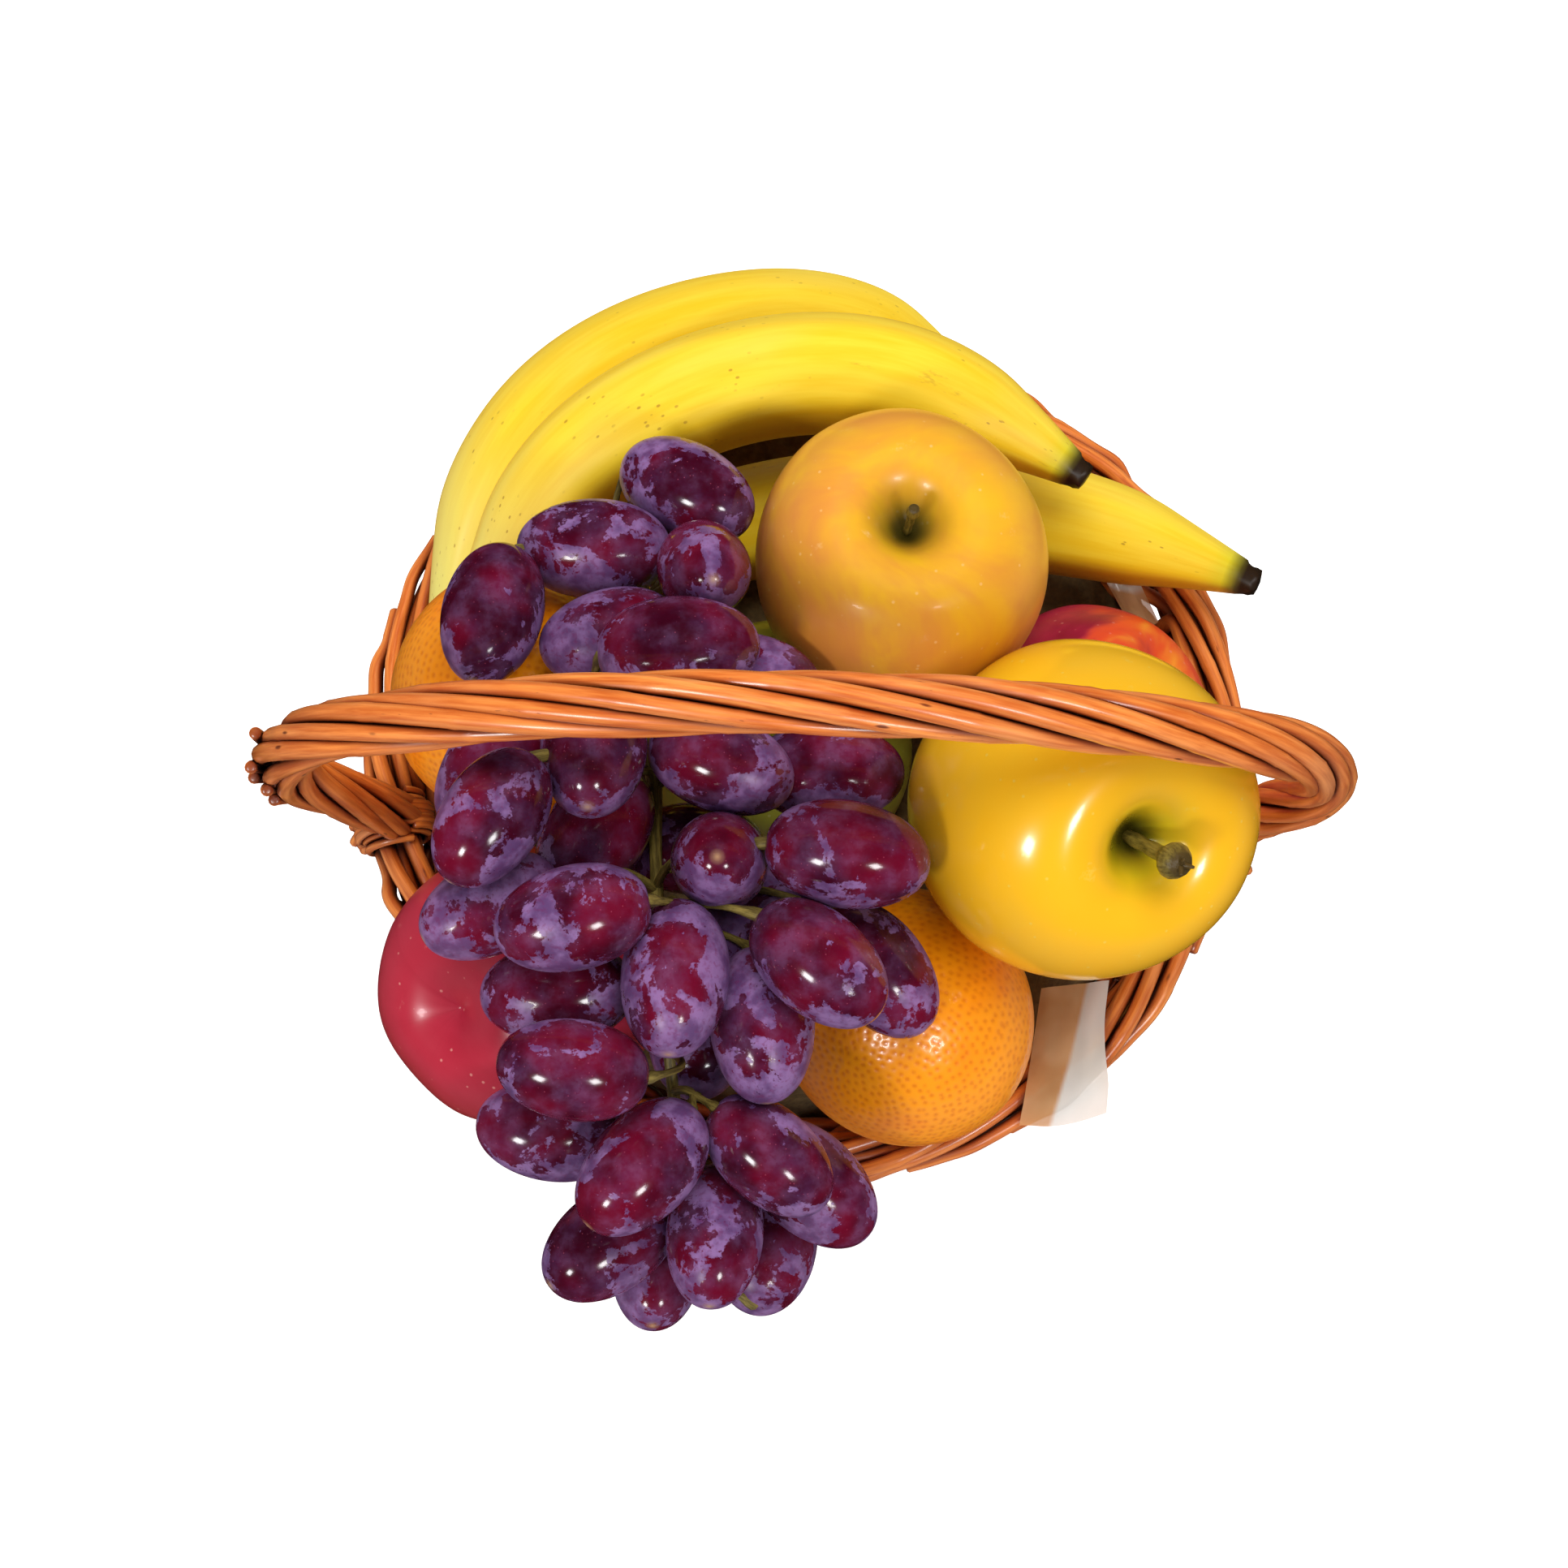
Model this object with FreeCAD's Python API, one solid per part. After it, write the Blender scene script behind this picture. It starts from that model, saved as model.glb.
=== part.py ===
# A round woven willow basket with one hooped handle, paper packing and a heap of fruit.
# Millimetres. The origin is on the table at the basket's axis, +Z is up, the front is -Y.
import FreeCAD, Part
import math
import os

os.makedirs("parts", exist_ok=True)
V = FreeCAD.Vector

# ---- driving dimensions -------------------------------------------------------------
FLARE = 17.0             # lean of the wall from the vertical, degrees
STAKES = 26              # upright stakes round the wall
STAKE_R = 1.9
WALL_R = 110.0           # radius of the stakes at the height of the border
RIM_Z = 88.0             # height of the border's middle
RIM_R = 113.0            # radius of the border's middle
RIM_HALF_WIDTH = 7.0
RIM_HALF_HEIGHT = 6.5
WALL_THICK = 6.4
FOOT_HEIGHT = 9.0        # the foot ring lifts the base off the table
BASE_STICK_R = 2.5
BASE_HUB_R = 17.0        # the bare crossing at the middle of the base
BASE_LOW, BASE_TOP = 2.4, 13.8   # heights of the woven base's two faces
WALE_HALF = 4.6          # half thickness of the thick bands below and above the weave
LOWER_WALE = (FOOT_HEIGHT, 18.0)
WEAVE = (18.0, 73.0)
UPPER_WALE = (73.0, 81.5)

HANDLE_Y = -24.0         # the hoop stands this far in front of the middle
HANDLE_TOP = 148.0       # above the border's middle, along the leaning hoop
HANDLE_HALF = 125.0      # half width of the hoop at its widest
HANDLE_SIDE_R = 62.0     # radius of the hoop's shoulders
HANDLE_FOOT_Z = 30.0     # the legs go down beside the stakes to this height
BOW_R = 3.1
WRAP_R = 7.2
TIE_THICK = 2.2
TIE_HALF_ANGLE = 7.5     # degrees of the rim that each lashing covers, each way

FILL_Z = 14.0            # the packing rests on the base
FILL_GAP = 6.5           # from the line of stakes to the packing
FILL_TOP = ((80.0, 0.0), (88.0, 12.0), (93.0, 42.0), (96.0, 102.0))   # height, inset from the wall
PAPER = 0.8              # thickness of a paper flap
NEST = 0.4               # room that the packing leaves round each fruit

# Where the pieces that lift out go: unit directions.
BUNCH_OUT = (0.0, -0.955, 0.296)
FRONT_OUT = (0.10, -0.92, 0.38)
BUNCH_TRAVEL = 120.0


def flare_tan():
    return math.tan(math.radians(FLARE))


def wall_r(z):
    """Radius of the line of stakes at a height."""
    return WALL_R - (RIM_Z - z) * flare_tan()


def turned(points):
    """A solid of revolution about Z from straight-sided (r, z) points."""
    line = Part.makePolygon([V(r, 0, z) for r, z in points] + [V(points[0][0], 0, points[0][1])])
    return Part.Face(line).revolve(V(0, 0, 0), V(0, 0, 1), 360)


def solid_of(shape):
    """The one solid in a shape that a boolean made."""
    return max(shape.Solids, key=lambda s: s.Volume)


def save(name, *shapes):
    """One STEP file for a node, whether it is one solid or a group of them."""
    solids = [s for shape in shapes for s in shape.Solids]
    out = solids[0] if len(solids) == 1 else Part.makeCompound(solids)
    assert out.isValid(), name
    out.exportStep("parts/" + name + ".step")
    print("%-20s %2d solid(s) %9.0f mm3  z %6.1f to %6.1f" % (
        name, len(solids), sum(s.Volume for s in solids), out.BoundBox.ZMin, out.BoundBox.ZMax))


# ---- the hoop's path, in its own leaning plane ---------------------------------------
LEG_X = math.sqrt(WALL_R ** 2 - HANDLE_Y ** 2)
LEAN = math.atan(flare_tan() * -HANDLE_Y / WALL_R)          # the hoop leans forward
LEG_TAN = flare_tan() * LEG_X / WALL_R * math.cos(LEAN)     # each leg's slope outward


def hoop_wire(foot_z):
    """Leg, shoulder, crown, shoulder, leg: lines and tangent arcs in the leaning plane."""
    leg = math.atan(LEG_TAN)
    side_x = HANDLE_HALF - HANDLE_SIDE_R
    low_x = side_x + HANDLE_SIDE_R * math.cos(leg)
    low_h = (low_x - LEG_X) / LEG_TAN
    side_h = low_h + HANDLE_SIDE_R * math.sin(leg)
    rise = HANDLE_TOP - side_h
    crown_r = (side_x ** 2 + rise ** 2 - HANDLE_SIDE_R ** 2) / (2 * (rise - HANDLE_SIDE_R))
    crown_h = HANDLE_TOP - crown_r
    join = math.atan2(side_h - crown_h, side_x)
    half = (join - leg) / 2
    foot_h = (foot_z - RIM_Z) / math.cos(LEAN)

    def shoulder(angle):
        return (side_x + HANDLE_SIDE_R * math.cos(angle), side_h + HANDLE_SIDE_R * math.sin(angle))

    foot = (LEG_X + foot_h * LEG_TAN, foot_h)
    low, mid, high = shoulder(-leg), shoulder(half), shoulder(join)

    def place(x, h):
        return V(x, HANDLE_Y - h * math.sin(LEAN), RIM_Z + h * math.cos(LEAN))

    def mirrored(p):
        return place(-p[0], p[1])

    edges = [
        Part.makeLine(mirrored(foot), mirrored(low)),
        Part.Arc(mirrored(low), mirrored(mid), mirrored(high)).toShape(),
        Part.Arc(mirrored(high), place(0, HANDLE_TOP), place(*high)).toShape(),
        Part.Arc(place(*high), place(*mid), place(*low)).toShape(),
        Part.makeLine(place(*low), place(*foot)),
    ]
    return Part.Wire(edges), edges[0]


def hoop_pipe(foot_z, radius):
    """A round rod of a radius along the hoop."""
    wire, first = hoop_wire(foot_z)
    start = first.Vertexes[0].Point
    ahead = first.Vertexes[1].Point - start
    ring = Part.Wire(Part.Circle(start, ahead, radius).toShape())
    return wire.makePipeShell([ring], True, True)


def band(z_low, z_high, half):
    """A ring that follows the wall between two heights, with a six-sided section."""
    mid = (z_low + z_high) / 2
    near = half * 0.62
    return turned([
        (wall_r(z_low) - near, z_low), (wall_r(z_low) + near, z_low), (wall_r(mid) + half, mid),
        (wall_r(z_high) + near, z_high), (wall_r(z_high) - near, z_high), (wall_r(mid) - half, mid)])


# ---- basket -----------------------------------------------------------------------------
def base_sticks():
    """Four sticks one way and four across them, trimmed to the round of the base."""
    out = []
    pitch = 2 * BASE_STICK_R + 0.4
    low_z = (BASE_LOW + BASE_TOP) / 2 - BASE_STICK_R
    for layer in range(2):
        z = low_z + layer * 2 * BASE_STICK_R
        for k in range(4):
            off = (k - 1.5) * pitch
            half = math.sqrt((wall_r(FOOT_HEIGHT) - 7.5) ** 2 - off ** 2)
            if layer == 0:
                out.append(Part.makeCylinder(BASE_STICK_R, 2 * half, V(-half, off, z), V(1, 0, 0)))
            else:
                out.append(Part.makeCylinder(BASE_STICK_R, 2 * half, V(off, -half, z), V(0, 1, 0)))
    return out


def foot_border():
    """The ring that the basket stands on, flat underneath."""
    r = wall_r(FOOT_HEIGHT)
    return turned([(r - 4.5, 0), (r + 2.5, 0), (r + 4.6, 4), (r + 3.6, FOOT_HEIGHT),
                   (r - 5.5, FOOT_HEIGHT), (r - 6.0, 4)])


def stake(k):
    """One upright, from the foot ring to the middle of the border."""
    angle = 2 * math.pi * (k + 0.5) / STAKES
    low, high = LOWER_WALE[0] + 1.0, UPPER_WALE[1]

    def at(z):
        return V(wall_r(z) * math.cos(angle), wall_r(z) * math.sin(angle), z)

    ahead = at(high) - at(low)
    return Part.makeCylinder(STAKE_R, ahead.Length, at(low), ahead)


sticks = base_sticks()
foot = foot_border()
floor_r = wall_r(FOOT_HEIGHT) - 6.0
base_disc = turned([
    (BASE_HUB_R, BASE_LOW), (floor_r, BASE_LOW), (floor_r, BASE_TOP), (BASE_HUB_R, BASE_TOP)])
lower_band = band(*LOWER_WALE, WALE_HALF + 0.6)
weave_band = turned([
    (wall_r(WEAVE[0]) - WALL_THICK / 2, WEAVE[0]), (wall_r(WEAVE[0]) + WALL_THICK / 2, WEAVE[0]),
    (wall_r(WEAVE[1]) + WALL_THICK / 2, WEAVE[1]), (wall_r(WEAVE[1]) - WALL_THICK / 2, WEAVE[1])])
upper_band = band(*UPPER_WALE, WALE_HALF)
rim_arc = Part.Ellipse(V(RIM_R, 0, RIM_Z), RIM_HALF_WIDTH, RIM_HALF_HEIGHT).toShape()
rim_arc.rotate(V(RIM_R, 0, RIM_Z), V(1, 0, 0), 90)
rim = Part.Face(Part.Wire(rim_arc)).revolve(V(0, 0, 0), V(0, 0, 1), 360)
stakes = [stake(k) for k in range(STAKES)]
bow = hoop_pipe(HANDLE_FOOT_Z, BOW_R)
wrap_outer = hoop_pipe(RIM_Z, WRAP_R)


def tie(side):
    """A lashing: a sleeve round the border where a leg of the hoop goes in."""
    middle = math.degrees(math.atan2(HANDLE_Y, side * LEG_X))
    ring = Part.Wire(Part.Ellipse(V(RIM_R, 0, RIM_Z), RIM_HALF_WIDTH + TIE_THICK,
                                  RIM_HALF_HEIGHT + TIE_THICK).toShape())
    ring.rotate(V(RIM_R, 0, RIM_Z), V(1, 0, 0), 90)
    sleeve = Part.Face(ring).revolve(V(0, 0, 0), V(0, 0, 1), 2 * TIE_HALF_ANGLE)
    sleeve.rotate(V(0, 0, 0), V(0, 0, 1), middle - TIE_HALF_ANGLE)
    return sleeve


tie_left, tie_right = tie(-1), tie(1)
base_plate = solid_of(base_disc.cut(Part.makeCompound(sticks)))
weave = solid_of(weave_band.cut(Part.makeCompound(stakes + [bow])))
lower = solid_of(lower_band.cut(Part.makeCompound(stakes)))
upper = solid_of(upper_band.cut(Part.makeCompound(stakes + [bow])))
border = solid_of(rim.cut(Part.makeCompound([bow, upper_band])))
wrap = solid_of(wrap_outer.cut(bow).cut(rim).cut(Part.makeCompound([tie_left, tie_right])))
ties = [solid_of(t.cut(Part.makeCompound([rim, bow, upper_band, weave_band] + stakes)))
        for t in (tie_left, tie_right)]

save("base_sticks", *sticks)
save("base_weave", base_plate)
save("foot_border", foot)
save("lower_wale", lower)
save("side_stakes", *stakes)
save("side_weave", weave)
save("upper_wale", upper)
save("rim_border", border)
save("handle_bow", bow)
save("handle_wrap", wrap)
save("handle_tie_left", ties[0])
save("handle_tie_right", ties[1])


# ---- fruit ------------------------------------------------------------------------------
APPLE = ((0, 0.54), (0.10, 0.60), (0.26, 0.78), (0.50, 0.85), (0.84, 0.62), (1.0, 0.12),
         (0.93, -0.38), (0.68, -0.74), (0.40, -0.85), (0.20, -0.80), (0, -0.68))
PEACH = ((0, 0.74), (0.08, 0.78), (0.26, 0.86), (0.66, 0.70), (0.97, 0.25), (0.97, -0.20),
         (0.70, -0.66), (0.30, -0.86), (0, -0.90))
ORANGE = ((0, 0.93), (0.10, 0.94), (0.45, 0.86), (0.83, 0.52), (1.0, 0.0), (0.83, -0.52),
          (0.45, -0.86), (0, -0.95))


def fruit(outline, radius, centre, axis):
    """A turned fruit: its half outline in units of its radius, stalk end up, then placed."""
    curve = Part.BSplineCurve()
    curve.interpolate([V(r * radius, 0, z * radius) for r, z in outline])
    top, end = V(0, 0, outline[0][1] * radius), V(0, 0, outline[-1][1] * radius)
    wire = Part.Wire([curve.toShape(), Part.makeLine(end, top)])
    body = Part.Face(wire).revolve(V(0, 0, 0), V(0, 0, 1), 360)
    body.Placement = FreeCAD.Placement(V(*centre), FreeCAD.Rotation(V(0, 0, 1), V(*axis)))
    return body


def stalk(centre, axis, start, length, radius, knob):
    """A fruit's stalk: a thin cone along the axis with a thicker end."""
    unit = V(*axis)
    unit.normalize()
    foot_point = V(*centre) + unit * start
    rod = Part.makeCone(radius * 0.8, radius, length, foot_point, unit)
    return solid_of(rod.fuse(Part.makeSphere(knob, foot_point + unit * length)))


def loft_tube(spine, radii, sides=8):
    """A soft-sided tube along a smooth line, its radius given at evenly spaced stations."""
    line = Part.BSplineCurve()
    line.interpolate([V(*p) for p in spine])
    first, last = line.FirstParameter, line.LastParameter
    rings = []
    for k, radius in enumerate(radii):
        u = first + (last - first) * k / (len(radii) - 1)
        middle = line.value(u)
        ahead = line.tangent(u)[0]
        across = ahead.cross(V(0, 0, 1))
        across.normalize()
        over = across.cross(ahead)
        ring = Part.BSplineCurve()
        ring.interpolate([middle + across * (radius * math.cos(2 * math.pi * j / sides))
                          + over * (radius * math.sin(2 * math.pi * j / sides))
                          for j in range(sides)], PeriodicFlag=True)
        rings.append(Part.Wire(ring.toShape()))
    return Part.makeLoft(rings, True)


# Each round fruit: outline, radius, centre, direction of its stalk end.
ROUND = {
    "orange_left": (ORANGE, 33.0, (-73, -1.5, 131), (-0.3, -0.5, 0.8)),
    "orange_front": (ORANGE, 33.0, (27, -79.5, 116), (0.5, 0.5, -0.7)),
    "apple_red": (APPLE, 34.0, (-69.5, -76, 130), (0.5, 0.4, -0.8)),
    "nectarine": (PEACH, 31.5, (76.5, 2, 105.5), (0.6, 0.4, 0.7)),
    "apple_middle": (APPLE, 34.0, (-6, -8, 104.2), (0.1, 0.2, 1.0)),
    "apple_top": (APPLE, 36.2, (23, 26.5, 158.5), (0.03, 0.02, 1.0)),
    "apple_front": (APPLE, 40.1, (65.5, -38, 167), (0.40, -0.48, 0.78)),
}
SHAPES = {name: fruit(*spec) for name, spec in ROUND.items()}
stalk_top = stalk(*ROUND["apple_top"][2:], 17.0, 17.0, 1.3, 1.9)
stalk_front = stalk(*ROUND["apple_front"][2:], 19.5, 24.0, 1.9, 4.2)
SHAPES["apple_top"] = solid_of(SHAPES["apple_top"].cut(stalk_top))
SHAPES["apple_front"] = solid_of(SHAPES["apple_front"].cut(stalk_front))

# Bananas: centre lines from the crown to the tip, and the radius along them.
BANANA_R = (6.0, 8.0, 12.2, 15.2, 16.3, 16.4, 16.3, 16.0, 14.8, 11.0, 5.0)
back_line = ((-97, 16, 95), (-92, 46, 103), (-66, 87, 113), (-22, 109, 114), (15, 108, 114), (43, 93, 114))
mid_line = ((-95, 16, 99), (-85, 37, 107), (-58, 65, 130), (-20, 82, 140), (25, 83, 140), (68, 61, 137))
low_line = ((-90, 14, 93), (-65, 41, 88), (-20, 62, 89), (28, 67, 94), (78, 57, 104), (116, 41, 112))
crown = Part.makeSphere(9.3, V(-95, 10, 93))
banana_back = solid_of(loft_tube(back_line, BANANA_R).cut(crown))
banana_mid = solid_of(loft_tube(mid_line, BANANA_R).cut(Part.makeCompound([crown, banana_back])))
banana_low = solid_of(loft_tube(low_line, BANANA_R).cut(Part.makeCompound([crown, banana_mid, banana_back])))


# ---- grapes -----------------------------------------------------------------------------
GRAPE_LONG = 18.3        # half length of a grape
GRAPE_WIDE = 12.0        # half width
GRAPE_SIZES = (1.0, 0.94, 1.03, 0.97)
RACHIS = ((-42, 24, 146), (-39, 0, 152), (-36, -32, 158), (-34, -62, 162), (-31, -92, 158),
          (-28, -114, 146), (-25, -130, 130))
RACHIS_R = 2.0
PEDICEL_R = 0.8
SETTLE_STEPS = 300
SETTLE_GAP = 0.55
SKIN = 0.6               # how far a fruit may bulge past its stated radius
PEDICEL_IN = 1.5         # the twig's end goes this far into its grape
STACK_POINT = (0, -183, 726)         # grapes stack along lines that meet high above the front
PULL_ALONG, PULL_ACROSS = 0.015, 0.09   # share of the way home that a grape tries each step
PUSH_ALONG, PUSH_ACROSS = 0.60, 0.35    # share of a push that acts along its line, and across it

# One row for each grape: its middle, the heading of its long axis in plan, and its tilt.
TOP_GRAPES = (
    (-30, 37, 158, 150, 10), (-23, 22, 166, 110, 60), (-51, 25, 160, 0, 0), (-41, 33, 150, 90, 20),
    (-72, 10, 162, 80, 10), (-49, 6, 169, 15, 0), (-30, -1, 171, 5, 0), (-8, 0, 168, 170, 10))
MIDDLE_GRAPES = (
    (-74, -30, 165, 60, 0), (-70, -46, 172, 60, 0), (-51, -30, 168, 90, 30), (-19, -33, 176, -20, 0),
    (10, -31, 170, 0, 0), (-20, -56, 180, 90, 80), (15, -56, 180, -8, 0), (-52, -69, 177, 15, 0),
    (-52, -49, 160, 60, 0), (-66, -61, 168, 30, 10), (-28, -79, 176, 88, 15), (4, -77, 177, -40, 0),
    (23, -76, 167, -50, 10), (-34, -46, 150, 0, 0), (-10, -66, 160, 40, 20))
TAIL_GRAPES = (
    (-55, -86, 174, 5, 0), (-10, -93, 171, 95, 0), (-52, -100, 170, -5, 10),
    (-34, -90, 154, 90, 20), (-56, -116, 162, -5, 10), (-36, -123, 160, 50, 10),
    (-6, -117, 158, -40, 10), (2, -126, 142, -40, 10), (-20, -137, 140, 88, 20),
    (-43, -139, 136, 40, 20), (-34, -143, 122, 90, 30), (-6, -137, 128, 80, 30))


def reach_to(a, b, point):
    """The vector from the nearest point of a straight run to a point."""
    run = b - a
    share = (point - a).dot(run) / max(run.dot(run), 1e-9)
    return point - a - run * max(0.0, min(1.0, share))


def obstacles():
    """Everything that grapes keep clear of, as (end, end, radius), with the room to slide past."""
    out = []
    back = V(*BUNCH_OUT) * -BUNCH_TRAVEL
    for _, radius, centre, _ in ROUND.values():
        out.append((V(*centre), V(*centre) + back, radius + SKIN))
    for name, way in (("apple_top", (0, 0, 1)), ("apple_front", FRONT_OUT)):
        _, radius, centre, _ = ROUND[name]
        out.append((V(*centre), V(*centre) + V(*way) * BUNCH_TRAVEL, radius + SKIN))
    for line in (mid_line, low_line):
        out += [(V(*a), V(*b), BANANA_R[5] + 0.4) for a, b in zip(line, line[1:])]
    edge = [V(RIM_R * math.cos(math.pi * k / 12), RIM_R * math.sin(math.pi * k / 12), RIM_Z)
            for k in range(25)]
    out += [(a, b, RIM_HALF_WIDTH + 1.0) for a, b in zip(edge, edge[1:])]
    out += [(V(*a), V(*b), RACHIS_R) for a, b in zip(RACHIS, RACHIS[1:])]
    return out


def shared(vector, line, along, across):
    """A vector with its part along a line, and its part across it, each taken to a share."""
    part = line * vector.dot(line)
    return part * along + (vector - part) * across


def beads():
    """A grape as five balls along its long axis, each just inside its skin: (offset, radius)."""
    focus = GRAPE_LONG ** 2 - GRAPE_WIDE ** 2
    last = focus / GRAPE_LONG
    return [(x, GRAPE_WIDE * math.sqrt(1 - x * x / focus)) for x in (-last, -last / 2, 0, last / 2, last)]


def settle(rows):
    """Push overlapping grapes apart, a little at a time, until each one is clear."""
    grapes = []
    for k, (x, y, z, heading, tilt) in enumerate(rows):
        h, t = math.radians(heading), math.radians(tilt)
        unit = V(math.cos(h) * math.cos(t), math.sin(h) * math.cos(t), -math.sin(t))
        grapes.append([V(x, y, z), unit, GRAPE_SIZES[k % len(GRAPE_SIZES)]])
    home = [g[0] for g in grapes]
    fixed = obstacles()
    balls = beads()
    for step in range(SETTLE_STEPS):
        pull = 1.0 if step < SETTLE_STEPS * 2 // 3 else 0.0
        laid = [[(place + unit * (x * size), r * size) for x, r in balls]
                for place, unit, size in grapes]
        for i, (place, _, size) in enumerate(grapes):
            line = V(*STACK_POINT) - home[i]
            line.normalize()
            push = shared((home[i] - place) * pull, line, PULL_ALONG, PULL_ACROSS)
            for a, b, radius in fixed:
                if reach_to(a, b, place).Length > radius + GRAPE_LONG * size + 1.0:
                    continue
                for middle, r in laid[i]:
                    away = reach_to(a, b, middle)
                    gap = away.Length - radius - r - SETTLE_GAP
                    if gap < 0:
                        push += shared(away * (-gap / away.Length), line, PUSH_ALONG, PUSH_ACROSS)
            for j, (other, _, _) in enumerate(grapes):
                if i == j or (other - place).Length > 2.2 * GRAPE_LONG:
                    continue
                for middle, r in laid[i]:
                    for across, q in laid[j]:
                        away = middle - across
                        gap = away.Length - r - q - SETTLE_GAP
                        if gap < 0:
                            apart = away * (-gap * 0.5 / max(away.Length, 0.1))
                            push += shared(apart, line, PUSH_ALONG, PUSH_ACROSS)
            if push.Length > 3.0:
                push = push * (3.0 / push.Length)
            grapes[i][0] = place + push
    return grapes


def grape(place, unit, size):
    """A grape: a turned half ellipse with its long axis along a direction."""
    long_half, wide_half = GRAPE_LONG * size, GRAPE_WIDE * size
    arc = Part.Ellipse(V(long_half, 0, 0), V(0, wide_half, 0), V(0, 0, 0)).toShape(0, math.pi)
    ends = [vertex.Point for vertex in arc.Vertexes]
    body = Part.Face(Part.Wire([arc, Part.makeLine(ends[1], ends[0])])).revolve(V(0, 0, 0), V(1, 0, 0), 360)
    body.Placement = FreeCAD.Placement(place, FreeCAD.Rotation(V(1, 0, 0), unit))
    return body


def twig(a, b, radius_a, radius_b):
    """A straight twig that narrows from one end to the other."""
    run = b - a
    if radius_a == radius_b:
        return Part.makeCylinder(radius_a, run.Length, a, run)
    return Part.makeCone(radius_a, radius_b, run.Length, a, run)


def pedicels(grapes):
    """A thin twig from the main stalk to the near end of each grape."""
    out = []
    for place, unit, size in grapes:
        tips = [place + unit * (GRAPE_LONG * size * side) for side in (-1, 1)]
        ways = [(reach_to(V(*a), V(*b), tip), tip) for a, b in zip(RACHIS, RACHIS[1:]) for tip in tips]
        away, tip = min(ways, key=lambda way: way[0].Length)
        inside = tip + (place - tip) * (PEDICEL_IN / (place - tip).Length)
        out.append(twig(tip - away, inside, PEDICEL_R * 1.5, PEDICEL_R))
    return out


rows = TOP_GRAPES + MIDDLE_GRAPES + TAIL_GRAPES
settled = settle(rows)
moved = [(settled[k][0] - V(*rows[k][:3])).Length for k in range(len(rows))]
print("grapes moved by up to %.1f mm, %.1f mm on average" % (max(moved), sum(moved) / len(moved)))

for name, shape in SHAPES.items():
    save(name, shape)
save("apple_top_stalk", stalk_top)
save("apple_front_stalk", stalk_front)
save("banana_crown", crown)
save("banana_back", banana_back)
save("banana_middle", banana_mid)
save("banana_low", banana_low)

runs = list(zip(RACHIS, RACHIS[1:]))
twigs = [twig(V(*a), V(*b), RACHIS_R, RACHIS_R) for a, b in runs]
joints = [Part.makeSphere(RACHIS_R * 1.2, V(*p)) for p in RACHIS]
main_stalk = solid_of(twigs[0].multiFuse(twigs[1:] + joints + pedicels(settled)))
save("grape_stalks", main_stalk)
counts = (len(TOP_GRAPES), len(MIDDLE_GRAPES), len(TAIL_GRAPES))
first = 0
for name, count in zip(("grapes_top", "grapes_middle", "grapes_tail"), counts):
    save(name, *[grape(*g) for g in settled[first:first + count]])
    first += count


# ---- paper ------------------------------------------------------------------------------
def paper_fill():
    """Crumpled packing that fills the basket, hollowed under the fruit that lies in it."""
    top = [(wall_r(80.0) - FILL_GAP - inset, z) for z, inset in FILL_TOP[:-1]]
    outline = [(0, FILL_Z), (wall_r(FILL_Z) - FILL_GAP, FILL_Z)] + top + [(0, FILL_TOP[-1][0])]
    heap = turned(outline)
    nests = [Part.makeSphere(radius + NEST, V(*centre)) for _, radius, centre, _ in ROUND.values()]
    shelf = Part.makeBox(240, 90, 60, V(-120, 34, 71.0))
    crown_shelf = Part.makeBox(80, 60, 60, V(-120, 0, 77.0))
    return solid_of(heap.cut(Part.makeCompound(nests[:5])).cut(shelf).cut(crown_shelf))


def flap(outline, from_angle, to_angle):
    """A thin sheet of paper bent along a line of (radius, height) points, part of the way round."""
    half = PAPER / 2
    upper, lower = [], []
    for k, (r, z) in enumerate(outline):
        before, after = outline[max(k - 1, 0)], outline[min(k + 1, len(outline) - 1)]
        run_r, run_z = after[0] - before[0], after[1] - before[1]
        size = math.hypot(run_r, run_z)
        upper.append(V(r - run_z / size * half, 0, z + run_r / size * half))
        lower.append(V(r + run_z / size * half, 0, z - run_r / size * half))
    face = Part.Face(Part.makePolygon(upper + lower[::-1] + upper[:1]))
    sheet = face.revolve(V(0, 0, 0), V(0, 0, 1), to_angle - from_angle)
    sheet.rotate(V(0, 0, 0), V(0, 0, 1), from_angle)
    return sheet


FRONT_FLAP = ((99, 95.6), (107, 97.2), (114, 96.8), (120.5, 93.0), (124, 86.0), (125, 78.0))
BACK_FLAP = ((97.5, 84.5), (101.2, 87.5), (103.2, 91.0))
save("paper_filling", paper_fill())
save("paper_flap_front", flap(FRONT_FLAP, -58.5, -43))
save("paper_flap_back", flap(BACK_FLAP, 20, 34))
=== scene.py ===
"""A round woven willow basket with a twisted hoop handle, heaped with fruit on paper packing."""

import math
import random

import bpy
import numpy as np
from mathutils import Matrix, Vector, noise
from mathutils.kdtree import KDTree


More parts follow.
